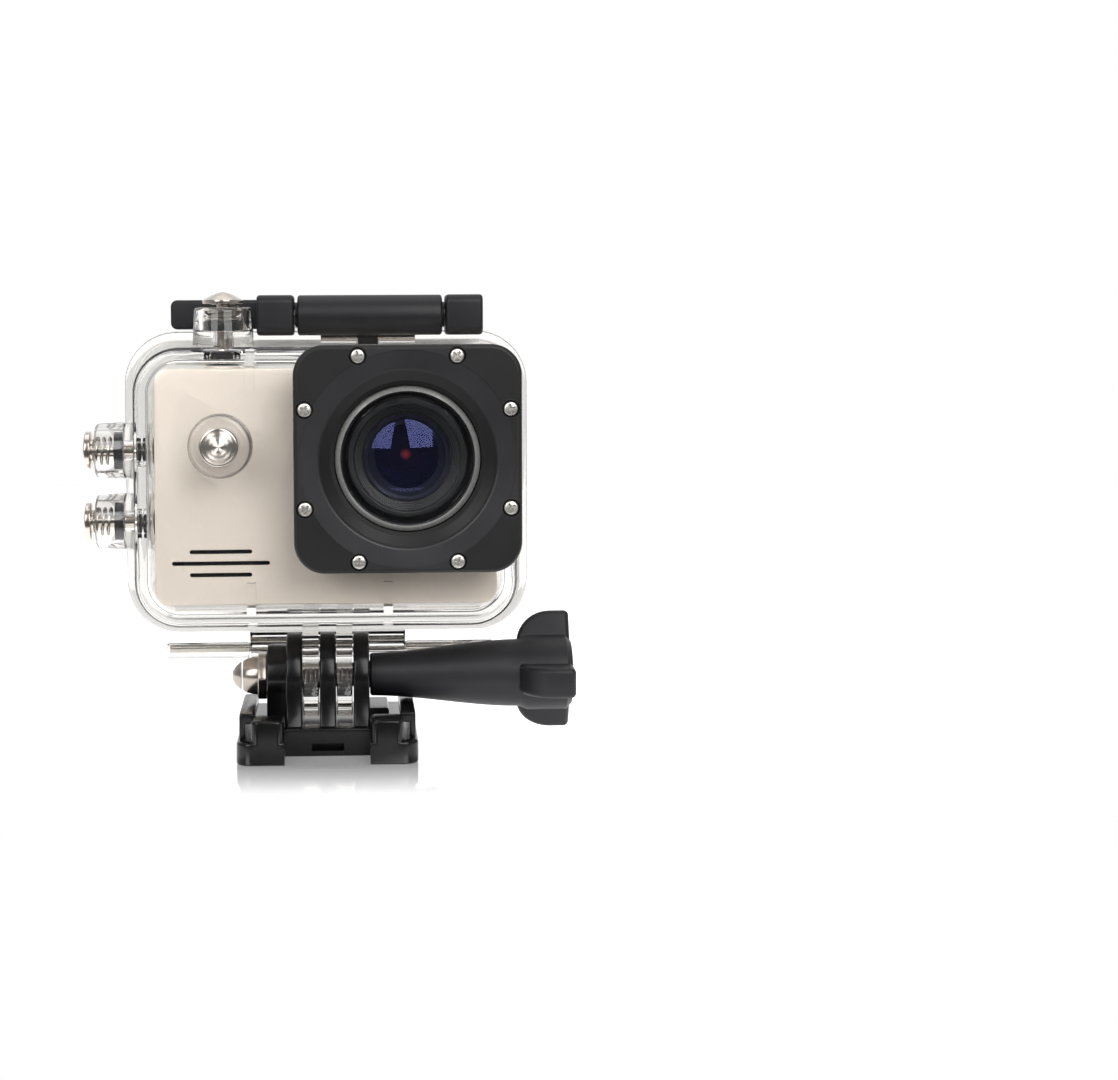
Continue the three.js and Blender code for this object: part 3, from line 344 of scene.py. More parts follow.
def champagneFinish():
    look = champagneLook
    made = Finish("champagnePaint", {"Metallic": 0.35, "IOR": 1.5})
    grain = made.noise(look["grain"], 3)
    patches = made.noise(90, 2)
    made.feed(
        Base_Color=made.mix(grain * 0.9 + patches * 0.1 - 0.05, look["dark"], look["colour"]),
        Roughness=0.34 + grain * 0.16,
        Normal=made.bump(grain, 0.00002, 0.35),
    )
    return made


blackLook = {"colour": shade(20, 20, 23), "worn": shade(30, 30, 34), "roughness": 0.38}


def blackFinish(name, colour, worn, roughness, grain=3800, depth=0.000012, coat=0.0):
    made = Finish(name, {
        "IOR": 1.5, "Specular IOR Level": 0.38, "Coat Weight": coat, "Coat Roughness": 0.08,
    })
    fine = made.noise(grain, 2)
    broad = made.noise(130, 3)
    made.feed(
        Base_Color=made.mix(broad, colour, worn),
        Roughness=roughness + broad * 0.1 + fine * 0.06,
        Normal=made.bump(fine, depth, 0.5),
    )
    return made


# clear plastic and glass: light rays on their way to a lamp pass straight through
def clearFinish(name, tint, ior, roughness, through):
    made = Finish(name, {"Base Color": tint, "IOR": ior, "Transmission Weight": 1})
    handling = made.noise(240, 4)
    made.feed(Roughness=roughness + handling * roughness)
    toLamp = made.node("ShaderNodeLightPath", {}, {}, "Is Shadow Ray")
    passing = made.node("ShaderNodeBsdfTransparent", {}, {"Color": through})
    return made.mixShader(toLamp, passing)


# turned steel: fine rings round the piece's own axis, which run across the light as a fan
def steelFinish(name, colour, roughness, axis=None, centre=(0, 0, 0), ringScale=0, ringDepth=0.0):
    made = Finish(name, {"Metallic": 1})
    cloud = made.noise(420, 3)
    dull = tuple(0.82 * c for c in colour[:3]) + (1,)
    made.feed(Base_Color=made.mix(cloud, dull, colour), Roughness=roughness + cloud * 0.08)
    if axis:
        rings = made.node(
            "ShaderNodeTexWave",
            {"wave_type": "RINGS", "rings_direction": axis.upper(), "wave_profile": "SIN"},
            {"Vector": made.place(centre), "Scale": ringScale, "Distortion": 0.0},
        )
        made.feed(Normal=made.bump(rings, ringDepth, 1.0))
    else:
        made.feed(Normal=made.bump(made.noise(5200, 2), 0.000006, 0.4))
    return made


champagne = champagneFinish()
black = blackFinish("satinBlack", blackLook["colour"], blackLook["worn"], blackLook["roughness"])
bezelBlack = blackFinish("bezelBlack", shade(22, 22, 23), shade(33, 33, 34), 0.36, 3000, 0.00002)
# painted sheen: the bezel's dished ring gets a lighter black than the rest of the bezel, besides its lower
# roughness
ringSheenBlack = blackFinish("bezelRingPaintedSheen", shade(40, 40, 42), shade(54, 54, 56), 0.26, 3000, 0.00001)
glossBlack = blackFinish("polishedBlack", shade(7, 7, 8), shade(11, 11, 13), 0.14, 900, 0.000004)
lensBlack = blackFinish("lensBlack", shade(10, 10, 11), shade(18, 18, 19), 0.34, 4500, 0.00001)
rubber = blackFinish("blackRubber", shade(20, 20, 22), shade(36, 36, 38), 0.62, 2600, 0.00003)
boardGreen = blackFinish("solderMask", shade(18, 74, 46), shade(28, 98, 60), 0.35, 1500, 0.00002)
cellWrap = blackFinish("cellWrap", shade(38, 40, 46), shade(56, 58, 64), 0.45, 1200, 0.00001)
panelBlack = blackFinish("panelBlack", shade(8, 9, 12), shade(16, 17, 22), 0.08, 500, 0.000001, 0.6)
clear = clearFinish("clearPolycarbonate", (0.91, 0.9, 0.885, 1), 1.5, 0.012, (0.95, 0.955, 0.955, 1))
flatGlass = clearFinish("portGlass", (0.97, 0.98, 0.985, 1), 1.45, 0.004, (0.93, 0.94, 0.95, 1))
flatGlass.shader.inputs["Specular Tint"].default_value = (0.4, 0.4, 0.45, 1)
steel = steelFinish("stainlessSteel", (0.56, 0.53, 0.49, 1), 0.22)
boltSteel = steelFinish("boltSteel", (0.3, 0.28, 0.26, 1), 0.26)
screwSteel = steelFinish("screwSteel", (0.78, 0.75, 0.71, 1), 0.34)
nutSteel = steelFinish("acornSteel", (0.46, 0.41, 0.36, 1), 0.19)


def siliconeFinish():
    made = Finish("clearSilicone", {"IOR": 1.42, "Transmission Weight": 0.45})
    mottle = made.noise(600, 2)
    made.feed(
        Base_Color=made.mix(mottle, shade(226, 226, 224), shade(240, 240, 239)),
        Roughness=0.32 + mottle * 0.12,
    )
    return made


silicone = siliconeFinish()
print("finishes made")


# the camera, in the housing

cameraLow = box("camera_front_cover")[0]
cameraHigh = box("camera_rear_cover")[1]
split = box("camera_rear_cover")[0].y
ringLow, ringHigh = box("lens_ring")
glassLow, glassHigh = box("port_glass")
lensX = (glassLow.x + glassHigh.x) / 2
lensZ = (glassLow.z + glassHigh.z) / 2
lensAt = (lensX, lensZ)

cameraStyle = {
    "corner": 1.6,
    "edge": 0.4,
    "wall": 1.3,
    "slotWidth": 0.7,
    "slotPitch": 2.0,
    "slotLengths": (10.8, 16.9, 10.8),
    "firstSlot": 5.35,        # from the base up to the middle of the lowest slot
    "slotX": -18.3,
    "gap": 0.15,
    "screenBorder": 2.25,
    "lensHole": 11.05,
}


def cameraBlock(inset, front, back, frontRim=0.0, backRim=0.0):
    corner = max(cameraStyle["corner"] - inset, 0.4)
    return slab("y", cornersOf(cameraLow, cameraHigh, -inset, corner), front, back, frontRim, backRim)


def buttonRadius(node):
    low, high = box(node)
    return sorted(high - low)[1] / 2 - buttonStyle["flangeReach"]


buttonStyle = {"flangeReach": 0.8, "flange": 0.7, "crown": 0.55, "groove": (2.3, 2.0), "grooveDepth": 0.5}
buttonAxes = {"mode_button": "y", "shutter_button": "z", "up_key": "x", "down_key": "x"}


def middleAcross(node, axis):
    low, high = box(node)
    middle = (low + high) / 2
    return {"x": (middle.y, middle.z), "y": (middle.x, middle.z), "z": (middle.x, middle.y)}[axis]


def frontCover():
    style = cameraStyle
    wall = style["wall"]
    body = cameraBlock(0, cameraLow.y, split - style["gap"], frontRim=style["edge"])
    hollow = cameraBlock(wall, cameraLow.y + wall, split + 5)
    holes = [rod("y", lensAt, style["lensHole"], cameraLow.y - 3, cameraLow.y + 3)]
    for node, axis in buttonAxes.items():
        low, high = box(node)
        k = order[axis]
        bore = buttonRadius(node) + style["gap"]
        holes.append(rod(axis, middleAcross(node, axis), bore, low[k] - 2, high[k] + 2))
    half = style["slotWidth"] / 2
    for i, length in enumerate(style["slotLengths"]):
        z = cameraLow.z + style["firstSlot"] + i * style["slotPitch"]
        left = style["slotX"] - length / 2
        outline = corners(left, left + length, z - half, z + half, 0.98 * half)
        holes.append(slab("y", outline, cameraLow.y - 1, cameraLow.y + wall + 1))
    doorLow, doorHigh = box("battery_door")
    gap = style["gap"]
    holes.append(brick(
        doorLow.x - gap, doorHigh.x + gap, doorLow.y - gap, doorHigh.y + gap,
        doorLow.z - 1, doorHigh.z + 1,
    ))
    return shadedSlotWalls(merged(body, cut=[hollow, *holes]))


# the grille's slot walls, from a little below the face, take the black rubber finish as painted shade inside
# the slots
def shadedSlotWalls(cover):
    style = cameraStyle
    low = cameraLow.z + style["firstSlot"] - style["slotWidth"]
    high = low + 2 * style["slotPitch"] + 2 * style["slotWidth"]
    reach = max(style["slotLengths"]) / 2 + 0.1
    for face in cover.data.polygons:
        x, y, z = face.center
        inSlot = abs(x - style["slotX"]) < reach and low < z < high
        if inSlot and cameraLow.y + 0.1 < y < cameraLow.y + style["wall"] - 0.01:
            # painted shade: this slot wall takes the black rubber finish
            face.material_index = 1
    return cover


def rearCover():
    style = cameraStyle
    wall = style["wall"]
    body = cameraBlock(0, split, cameraHigh.y, backRim=style["edge"])
    hollow = cameraBlock(wall, split - 5, cameraHigh.y - wall)
    low, high = box("screen_window")
    gap = style["gap"]
    border = style["screenBorder"]
    seat = slab("y", cornersOf(low, high, gap, 0.9), low.y - gap, high.y + 2)
    opening = slab("y", cornersOf(low, high, -border, 0.6), low.y - 3, high.y)
    return merged(body, cut=[hollow, seat, opening])


# the rubber finish on the front cover is the painted shade inside the grille slots
settle("cameraFrontCover", frontCover(), [champagne, rubber], "camera_front_cover", edge=0.12)
settle("cameraRearCover", rearCover(), champagne, "camera_rear_cover", edge=0.12)


# a camera button, its flange inside the cover and a crowned face outside
def cameraButton(name, node, sign):
    axis = buttonAxes[node]
    low, high = box(node)
    k = order[axis]
    outer, inner = (high[k], low[k]) if sign > 0 else (low[k], high[k])
    style = buttonStyle
    radius = buttonRadius(node)
    flangeRadius = radius + style["flangeReach"]
    flangeTop = inner + sign * style["flange"]
    centre = middleAcross(node, axis)
    button = turned(axis, centre, [
        (0, inner),
        (flangeRadius, inner),
        (flangeRadius, flangeTop),
        (radius, flangeTop),
        (radius, outer - sign * 0.05, 0.2),
        (radius - style["crown"], outer - sign * 0.1),
        (0, outer),
    ])
    grooves = []
    if node == "mode_button":      # a plain ring as the only mark
        near, far = (radius - inset for inset in style["groove"])
        grooves.append(ringOf(axis, centre, near, far, outer - style["grooveDepth"], outer + 0.15))
    return settle(name, merged(button, cut=grooves), champagne, node)


cameraButton("modeButton", "mode_button", -1)
cameraButton("shutterButton", "shutter_button", 1)
cameraButton("upKey", "up_key", -1)
cameraButton("downKey", "down_key", -1)


# the lens

barrelLow, barrelHigh = box("lens_barrel")
barrelStyle = {"radius": 10.2, "mouth": 8.9, "glass": 7.2, "bore": 5.0, "steps": 5, "collar": 10.9}


def lensRing():
    bore = barrelStyle["radius"] + 0.15
    radius = lensX - ringLow.x
    profile = [
        (bore, ringLow.y),
        (radius - 0.9, ringLow.y, 0.3),
        (radius, ringLow.y + 0.9, 0.3),
        (radius, cameraLow.y - 0.15),
        (barrelStyle["collar"], cameraLow.y - 0.15),
        (barrelStyle["collar"], ringHigh.y),
        (bore, ringHigh.y),
    ]
    far = 2 * radius
    overTop = brick(lensX - far, lensX + far, ringLow.y - 1, cameraLow.y - 0.1, ringHigh.z, lensZ + far)
    overSide = brick(ringHigh.x, lensX + far, ringLow.y - 1, cameraLow.y - 0.1, lensZ - far, lensZ + far)
    return merged(turned("y", lensAt, profile, 128, closed=True), cut=[overTop, overSide])


# the barrel's mouth is a cone with fine steps that keep stray light down
def lensBarrel():
    style = barrelStyle
    front = barrelLow.y
    seat = box("front_lens")[1].y + 0.3
    depth = seat - 1.2 - front
    mouth = []
    for i in range(style["steps"]):
        near = style["mouth"] - (style["mouth"] - style["glass"] - 0.35) * i / style["steps"]
        level = front + 0.35 + (depth - 0.35) * i / style["steps"]
        mouth += [(near, level), (near - 0.2, level + 0.05)]
    profile = [
        (style["radius"], front, 0.3),
        (style["radius"], barrelHigh.y),
        (style["bore"], barrelHigh.y),
        (style["bore"], seat + 1.2),
        (style["glass"] - 0.8, seat),
        (style["glass"] + 0.15, seat),
        (style["glass"] + 0.15, seat - 1.2),
        *reversed(mouth),
        (style["mouth"] + 0.25, front, 0.12),
    ]
    return turned("y", lensAt, profile, 128, closed=True)


settle("lensRing", lensRing(), lensBlack, "lens_ring", edge=0.1)
settle("lensBarrel", lensBarrel(), lensBlack, "lens_barrel")


# a dome of glass: its rim, and how far its front and its back stand forward of that
def dome(radius, rim, front, back, rimWidth=0.5, steps=14):
    def curve(bulge, offset):
        ball = (radius * radius + bulge * bulge) / (2 * bulge)
        side = 1 if ball > 0 else -1
        widest = asin(min(1.0, radius / abs(ball)))
        angles = [widest * i / steps for i in range(steps + 1)]
        ball = abs(ball)
        return [(ball * sin(a), offset - bulge + side * ball * (1 - cos(a))) for a in angles]
    outer = curve(front - rimWidth, rim - rimWidth)
    return turned("y", lensAt, outer + curve(back, rim)[::-1], 96)


def coatedGlass(name, tint, base):
    made = Finish(name, {"IOR": 1.7, "Specular Tint": tint, "Roughness": 0.05})
    centred = made.place((lensX * toMetres, 0, lensZ * toMetres), (1 / toMetres, 0, 1 / toMetres))
    reach = made.node("ShaderNodeVectorMath", {"operation": "LENGTH"}, {0: centred}, 1)
    # the base colour is a ramp out from the lens's middle; on the inner lens it carries a painted reflection
    made.feed(Base_Color=made.node("ShaderNodeValToRGB", {"stops": base}, {0: reach * 0.13}))
    return made


# painted reflection: a red glow painted at the middle of the inner lens, going dark blue-black outwards
paintedCentreGlow = [
    (0.0, (0.30, 0.03, 0.025, 1)),
    (0.07, (0.09, 0.012, 0.014, 1)),
    (0.11, (0.006, 0.004, 0.008, 1)),
    (0.45, (0.002, 0.002, 0.006, 1)),
    (0.95, (0.001, 0.001, 0.003, 1)),
]
innerGlass = coatedGlass("innerLensPaintedGlow", (0.05, 0.06, 0.3, 1), paintedCentreGlow)
outerGlass = clearFinish("lensCoating", (0.8, 0.82, 0.97, 1), 1.6, 0.002, (0.8, 0.82, 0.95, 1))
outerGlass.shader.inputs["Specular Tint"].default_value = (0.3, 0.33, 0.85, 1)

lensLow, lensHigh = box("front_lens")
rearLow, rearHigh = box("rear_lens")
rearBulge = 1.6
frontDome = dome(lensHigh.x - lensX, lensHigh.y, lensHigh.y - lensLow.y, 0.9)
settle("frontLens", frontDome, outerGlass, "front_lens")
rearDome = dome(
    rearHigh.x - lensX, rearHigh.y - rearBulge, rearHigh.y - rearLow.y - rearBulge, -rearBulge, 0.8,
)
settle("rearLens", rearDome, innerGlass, "rear_lens")
print("camera made")


# the housing's plungers, each at its own place and pointing out along its own axis

sideStyle = {
    "axis": "x", "sign": -1, "boss": 4.8, "cap": 1.9, "capGap": 0.4, "crown": 0.4, "neck": 0.4,
    "wire": 0.25, "turns": 3,
}
plungerStyle = {
    "front": {
        "axis": "y", "sign": -1, "boss": 5.3, "cap": 1.3, "capGap": 0.3, "crown": 0.35, "neck": 0.2,
        "wire": 0.17, "turns": 2,
    },
    "top": {
        "axis": "z", "sign": 1, "boss": 5.1, "cap": 2.2, "capGap": 0.5, "crown": 1.25, "neck": 0.1,
        "wire": 0.25, "turns": 3,
    },
    "upper": sideStyle,
    "lower": sideStyle,
}
plungerFit = {"slip": 0.15, "pocketSlip": 0.35, "stem": 1.1, "floorToSeal": 0.15, "travel": 1.4}
crownStyle = {"pitch": 0.16, "depth": 0.013, "curve": 1.6}


# levels are measured outwards along the plunger's axis
class Station:
    def __init__(self, side):
        style = plungerStyle[side]
        self.side = side
        self.axis = style["axis"]
        self.sign = style["sign"]
        self.centre = middleAcross(side + "_plunger", self.axis)
        self.style = style
        self.capRadius = self.reach("_plunger")
        self.inner, self.top = self.span(side + "_plunger")
        self.capUnder = self.top - style["cap"]
        self.bossTop = self.capUnder - style["capGap"]
        self.bossRadius = style["boss"]
        self.foot = self.span(side + "_plunger_foot")
        self.seal = self.span(side + "_plunger_seal")
        self.spring = self.span(side + "_plunger_spring")

    def reach(self, piece):
        low, high = box(self.side + piece)
        return max(high[i] - low[i] for i in range(3) if i != order[self.axis]) / 2

    def span(self, node):
        low, high = box(node)
        k = order[self.axis]
        pair = (self.sign * low[k], self.sign * high[k])
        return min(pair), max(pair)

    def turn(self, profile, steps=96, closed=False):
        levels = [(p[0], self.sign * p[1], *p[2:]) for p in profile]
        return turned(self.axis, self.centre, levels, steps, closed)


stations = {side: Station(side) for side in plungerStyle}


# the cap's crown is turned in fine rings, which is what fans the light out
def plungerPin(station):
    stem = plungerFit["stem"]
    cap = station.capRadius
    crown = station.style["crown"]
    under = station.capUnder + station.style["neck"]
    reach = cap - 0.3
    count = int(reach / crownStyle["pitch"]) * 4
    rings = []
    for i in range(count):
        near = reach * (1 - i / count)
        level = station.top - crown * (near / reach) ** crownStyle["curve"]
        rings.append((near, level - crownStyle["depth"] * (1 - cos(0.5 * pi * i))))
    profile = [
        (0, station.inner),
        (stem, station.inner),
        (stem, station.capUnder - 0.01),
        (0.6 * cap, station.capUnder, 0.1),
        (0.6 * cap, under),
        (cap, under + 0.05, 0.12),
        (cap, station.top - crown - 0.12, 0.14),
        *rings,
        (0, station.top),
    ]
    return station.turn(profile)


def plungerSpring(station):
    low, high = station.spring
    wire = station.style["wire"]
    reach = station.reach("_plunger_spring") - wire
    axis = station.axis
    u, v = station.centre
    start = spot(axis, u + reach, v, station.sign * (low + wire))
    outward = spot(axis, 1, 0, 0)
    facing = Vector((0, 0, 1)).rotation_difference(directions[axis].cross(outward))
    place = Matrix.Translation(start) @ facing.to_matrix().to_4x4()
    bm = bmesh.new()
    bmesh.ops.create_circle(bm, segments=10, radius=wire, matrix=place, cap_ends=True)
    turns = station.style["turns"]
    steps = 28 * turns
    climb = station.sign * (high - low - 2 * wire) / steps
    bmesh.ops.spin(
        bm, geom=bm.verts[:] + bm.edges[:] + bm.faces[:], cent=spot(axis, u, v, 0),
        axis=directions[axis], dvec=directions[axis] * climb,
        angle=2 * pi * turns, steps=steps, use_merge=False, use_normal_flip=False,
        use_duplicate=False,
    )
    return blank(bm)


def capFinish(station):
    centre = [c * toMetres for c in spot(station.axis, *station.centre, 0)]
    colour = (0.72, 0.66, 0.6, 1)
    return steelFinish(station.side + "SpunSteel", colour, 0.16, station.axis, centre, 1500, 0.000003)


for side, station in stations.items():
    settle(side + "Plunger", plungerPin(station), capFinish(station), side + "_plunger")
    foot = station.turn(solidBand(station.reach("_plunger_foot"), *station.foot, 0.3), 64)
    settle(side + "PlungerFoot", foot, rubber, side + "_plunger_foot")
    low, high = station.seal
    inner = plungerFit["stem"] + 0.08
    outer = station.reach("_plunger_seal")
    seal = station.turn(band(inner, outer, low, high, 0.2), 64, True)
    settle(side + "PlungerSeal", seal, rubber, side + "_plunger_seal")
    spring = settle(side + "PlungerSpring", plungerSpring(station), steel, side + "_plunger_spring")
    low, high = station.spring
    anchor = spot(station.axis, *station.centre, station.sign * low) * toMetres
    side + "_plunger_press"
    1 - plungerFit["travel"] / (high - low)
    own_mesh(spring)
print("plungers made")


# the clear front shell

shellStyle = {
    "sideGap": 1.15, "endGap": 1.4, "frontGap": 2.0, "wall": 2.2, "frontWall": 2.0,
    "corner": 8.0, "frontRim": 1.7, "innerRim": 1.1,
    "flangeSide": 3.5, "flangeTop": 2.7, "flangeBottom": 3.7, "flange": 4.0, "flangeCorner": 9.5,
    "flangeRim": 0.9, "step": 1.5, "stepHeight": 1.3,
    "block": 37.4, "blockCorner": 4.8, "blockDepth": 2.6,
    "recess": 15.0, "tube": 12.3, "tubeBore": 10.9, "tubeFront": 0.15,
    "ribWidth": 1.6, "ribs": (-13.0, 10.6), "ribFoot": 4.0,
}
sideWall = shellStyle["sideGap"] + shellStyle["wall"]
endWall = shellStyle["endGap"] + shellStyle["wall"]
shellLow = Vector((cameraLow.x - sideWall, cameraLow.y - 4, cameraLow.z - endWall))
shellHigh = Vector((cameraHigh.x + sideWall, cameraHigh.y, cameraHigh.z + endWall))
insideFront = shellLow.y + shellStyle["frontWall"]
flangeFront = cameraHigh.y - shellStyle["flange"]
hingeLow, hingeHigh = box("door_hinge_pin")
hingeAt = ((hingeLow.y + hingeHigh.y) / 2, (hingeLow.z + hingeHigh.z) / 2)
lugLow, lugHigh = box("latch_bar_pin")
lugAt = ((lugLow.y + lugHigh.y) / 2, (lugLow.z + lugHigh.z) / 2)
boltLow, boltHigh = box("clamp_bolt")
screwAt = ((boltLow.y + boltHigh.y) / 2, (boltLow.z + boltHigh.z) / 2)


def flangeOutline(inset):
    style = shellStyle
    return corners(
        shellLow.x - style["flangeSide"] + inset, shellHigh.x + style["flangeSide"] - inset,
        shellLow.z - style["flangeBottom"] + inset, shellHigh.z + style["flangeTop"] - inset,
        style["flangeCorner"] - inset,
    )


def boss(station):
    under = station.foot[1] - 0.4
    return station.turn([
        (0, under),
        (station.bossRadius + 0.4, under),
        (station.bossRadius, station.bossTop, 0.7),
        (station.capRadius - 0.5, station.bossTop),
        (0, station.bossTop),
    ])


def bossBore(station):
    slip = plungerFit["slip"]
    floor = station.seal[0] - plungerFit["floorToSeal"]
    well = station.capRadius + slip
    stem = plungerFit["stem"] + slip
    pocket = station.reach("_plunger_foot") + plungerFit["pocketSlip"]
    return station.turn([
        (0, station.foot[0] - 2),
        (pocket, station.foot[0] - 2),
        (pocket, station.foot[1] + 0.02, 0.3),
        (stem, station.foot[1] + 0.02),
        (stem, floor),
        (well, floor, 0.4),
        (well, station.bossTop + 1),
        (0, station.bossTop + 1),
    ])


fingerStyle = {"x": 2.95, "thickness": 2.8, "radius": 7.3, "bore": 2.7}


def finger(side):
    style = fingerStyle
    half = style["thickness"] / 2
    middle = side * style["x"]
    disc = rod("x", screwAt, style["radius"], middle - half, middle + half, 0.35, 96)
    y, z = screwAt
    root = slab(
        "x", corners(y - style["radius"], y + style["radius"], z, shellLow.z + 0.5),
        middle - half, middle + half,
    )
    return [disc, root]


knuckleStyle = {
    "radius": 2.03, "left": -14.4, "right": 14.1, "doorLeft": -29.8, "doorRight": 30.2, "gap": 0.3,
}
pinBores = {"hinge": 1.02, "lug": 0.7, "lever": 1.1}


def knuckle(left, right, outline):
    barrel = rod("x", hingeAt, knuckleStyle["radius"], left, right, 0.25)
    return [barrel, slab("x", outline, left + 0.02, right - 0.02)]


def frontShell():
    style = shellStyle
    outline = cornersOf(shellLow, shellHigh, 0, style["corner"])
    body = slab("y", outline, shellLow.y, flangeFront + 2, style["frontRim"], 0, 14, 6)
    flange = slab("y", flangeOutline(0), flangeFront, cameraHigh.y, style["flangeRim"], 0.3, 16)
    stepFront = flangeFront - style["stepHeight"]
    step = slab("y", flangeOutline(style["step"]), stepFront, flangeFront + 1, 0.6, 0, 16)
    half = style["block"] / 2
    outline = corners(lensX - half, lensX + half, lensZ - half, lensZ + half, style["blockCorner"])
    blockFront = shellLow.y - style["blockDepth"]
    block = slab("y", outline, blockFront, shellLow.y + 1, 0.4)
    sealBack = box("port_seal")[1].y
    tube = rod("y", lensAt, style["tube"], sealBack + style["tubeFront"], shellLow.y + 0.5)
    added = [flange, step, block, tube, *map(boss, stations.values())]
    for side in (-1, 1):
        added += finger(side)
    y, z = hingeAt
    bottom = shellLow.z - style["flangeBottom"]
    added += knuckle(knuckleStyle["left"], knuckleStyle["right"], [
        (flangeFront + 1, bottom + 0.4), (y - 1.2, z - 1.2), (y + 0.6, z + 1.6),
        (cameraHigh.y - 0.5, bottom + 0.4),
    ])
    added += lugs()
    wall = style["wall"]
    inner = cornersOf(shellLow, shellHigh, -wall, style["corner"] - wall)
    cuts = [
        slab("y", inner, insideFront, cameraHigh.y + 1, lowRim=style["innerRim"], steps=14),
        rod("y", lensAt, style["recess"], blockFront + style["frontWall"], insideFront + 1),
        rod("y", lensAt, style["tubeBore"], box("port_seal")[0].y - 2, insideFront + 1),
        rod("x", screwAt, fingerStyle["bore"], -20, 20),
        rod("x", hingeAt, pinBores["hinge"], -40, 40),
        rod("x", lugAt, pinBores["lug"], -12, 32),
    ]
    shell = merged(body, add=added, cut=cuts + [bossBore(station) for station in stations.values()])
    return merged(shell, add=ribs())


lugStyle = {"radius": 1.45, "tongue": (5.75, 9.35), "slip": 0.25}


# the latch bar's tongue stands between the two lugs
def lugs():
    y, z = lugAt
    radius = lugStyle["radius"]
    top = shellHigh.z
    made = []
    tongueLeft, tongueRight = lugStyle["tongue"]
    slip = lugStyle["slip"]
    for left, right in ((lugLow.x, tongueLeft - slip), (tongueRight + slip, lugHigh.x)):
        made.append(rod("x", lugAt, radius, left, right, 0.2))
        made.append(slab("x", corners(y - radius, y + radius, top - 0.4, z), left + 0.02, right - 0.02))
    return made


def ribs():
    style = shellStyle
    half = style["ribWidth"] / 2
    seat = 0.3
    bite = 0.4
    floor = shellLow.z + style["wall"] - bite
    roof = shellHigh.z - style["wall"] + bite
    foot = style["ribFoot"]
    back, front = cameraHigh.y - 1, cameraLow.y - seat
    under = [(back, floor, cameraLow.z - seat), (front, floor, cameraLow.z + foot)]
    over = [(back, cameraHigh.z + seat, roof), (front, cameraHigh.z - foot, roof)]
    made = []
    for x, spans in zip(style["ribs"], (under + over, under)):
        for end, low, high in spans:
            made.append(brick(x - half, x + half, insideFront - seat, end, low, high))
    return made


settle("clearFrontShell", frontShell(), clear, "housing_front_shell")


# the clear rear door, its gasket and its hinge

doorStyle = {
    "gap": 0.3, "edge": 1.2, "window": (51.0, 37.0), "windowCorner": 4.0, "windowWall": 2.2,
    "lipLeft": -8.0, "lipRight": 23.8, "lipFront": 1.2, "lip": 2.0, "groove": 0.15, "depth": 5.3,
}
doorTop = box("housing_rear_door")[1].z


def gasketLoop(grow, front, back):
    low, high = box("door_gasket")
    width = 1.6
    corner = shellStyle["flangeCorner"] - (low.x - (shellLow.x - shellStyle["flangeSide"]))
    outer = cornersOf(low, high, grow, corner + grow)
    inset = width + grow
    inner = slab("y", cornersOf(low, high, -inset, corner - inset), front - 1, back + 1, steps=16)
    return merged(slab("y", outer, front, back, steps=16), cut=[inner])


def rearDoor():
    style = doorStyle
    front = cameraHigh.y + style["gap"]
    back = front + style["depth"]
    plate = slab("y", flangeOutline(0), front, back, 0.5, style["edge"], 16)
    middle = (cameraLow.z + cameraHigh.z) / 2
    width, height = style["window"]
    outline = corners(
        -width / 2, width / 2, middle - height / 2, middle + height / 2, style["windowCorner"],
    )
    window = slab("y", outline, front + style["windowWall"], back + 1, 0.6)
    top = shellHigh.z + shellStyle["flangeTop"]
    lipFront = front + style["lipFront"]
    lip = brick(style["lipLeft"], style["lipRight"], lipFront, lipFront + style["lip"], top - 2, doorTop)
    bottom = shellLow.z - shellStyle["flangeBottom"]
    y, z = hingeAt
    outline = [(front + 0.6, bottom + 0.5), (y - 1.9, z + 0.6), (y + 1.9, z + 0.6), (back - 1.5, bottom + 0.5)]
    gap = knuckleStyle["gap"]
    knuckles = knuckle(knuckleStyle["doorLeft"], knuckleStyle["left"] - gap, outline)
    knuckles += knuckle(knuckleStyle["right"] + gap, knuckleStyle["doorRight"], outline)
    gasketLow, gasketHigh = box("door_gasket")
    groove = gasketLoop(style["groove"], gasketLow.y - 2, gasketHigh.y + style["groove"])
    bore = rod("x", hingeAt, pinBores["hinge"], -40, 40)
    return merged(plate, add=[lip, *knuckles], cut=[window, groove, bore])


settle("clearRearDoor", rearDoor(), clear, "housing_rear_door")
low, high = box("door_gasket")
settle("doorGasket", gasketLoop(0, low.y, high.y), silicone, "door_gasket", edge=0.2)

for name in ("door_hinge", "latch_bar", "latch_lever"):
    node = name + "_pin"
    low, high = box(node)
    centre = ((low.y + high.y) / 2, (low.z + high.z) / 2)
    first, *rest = node.split("_")
    pieceName = first + "".join(word.capitalize() for word in rest)
    settle(pieceName, rod("x", centre, (high.z - low.z) / 2, low.x, high.x, 0.2), steel, node)
print("clear housing made")


# the lens port: the black bezel, its screws, the glass and the seal

bezelStyle = {
    "corner": 5.2, "rim": 0.7, "opening": 14.9, "annulus": 18.3, "annulusStep": 0.1, "dish": 0.42,
    "throat": 12.45, "screwHead": 1.3, "headDepth": 0.9, "screwShank": 0.75,
    "cross": (0.24, 0.14, 0.85),
}
bezelLow, bezelHigh = box("lens_bezel")
screwPlaces = []
for number in range(1, 9):
    low, high = box(f"bezel_screw_{number}")
    screwPlaces.append(((low.x + high.x) / 2, (low.z + high.z) / 2))


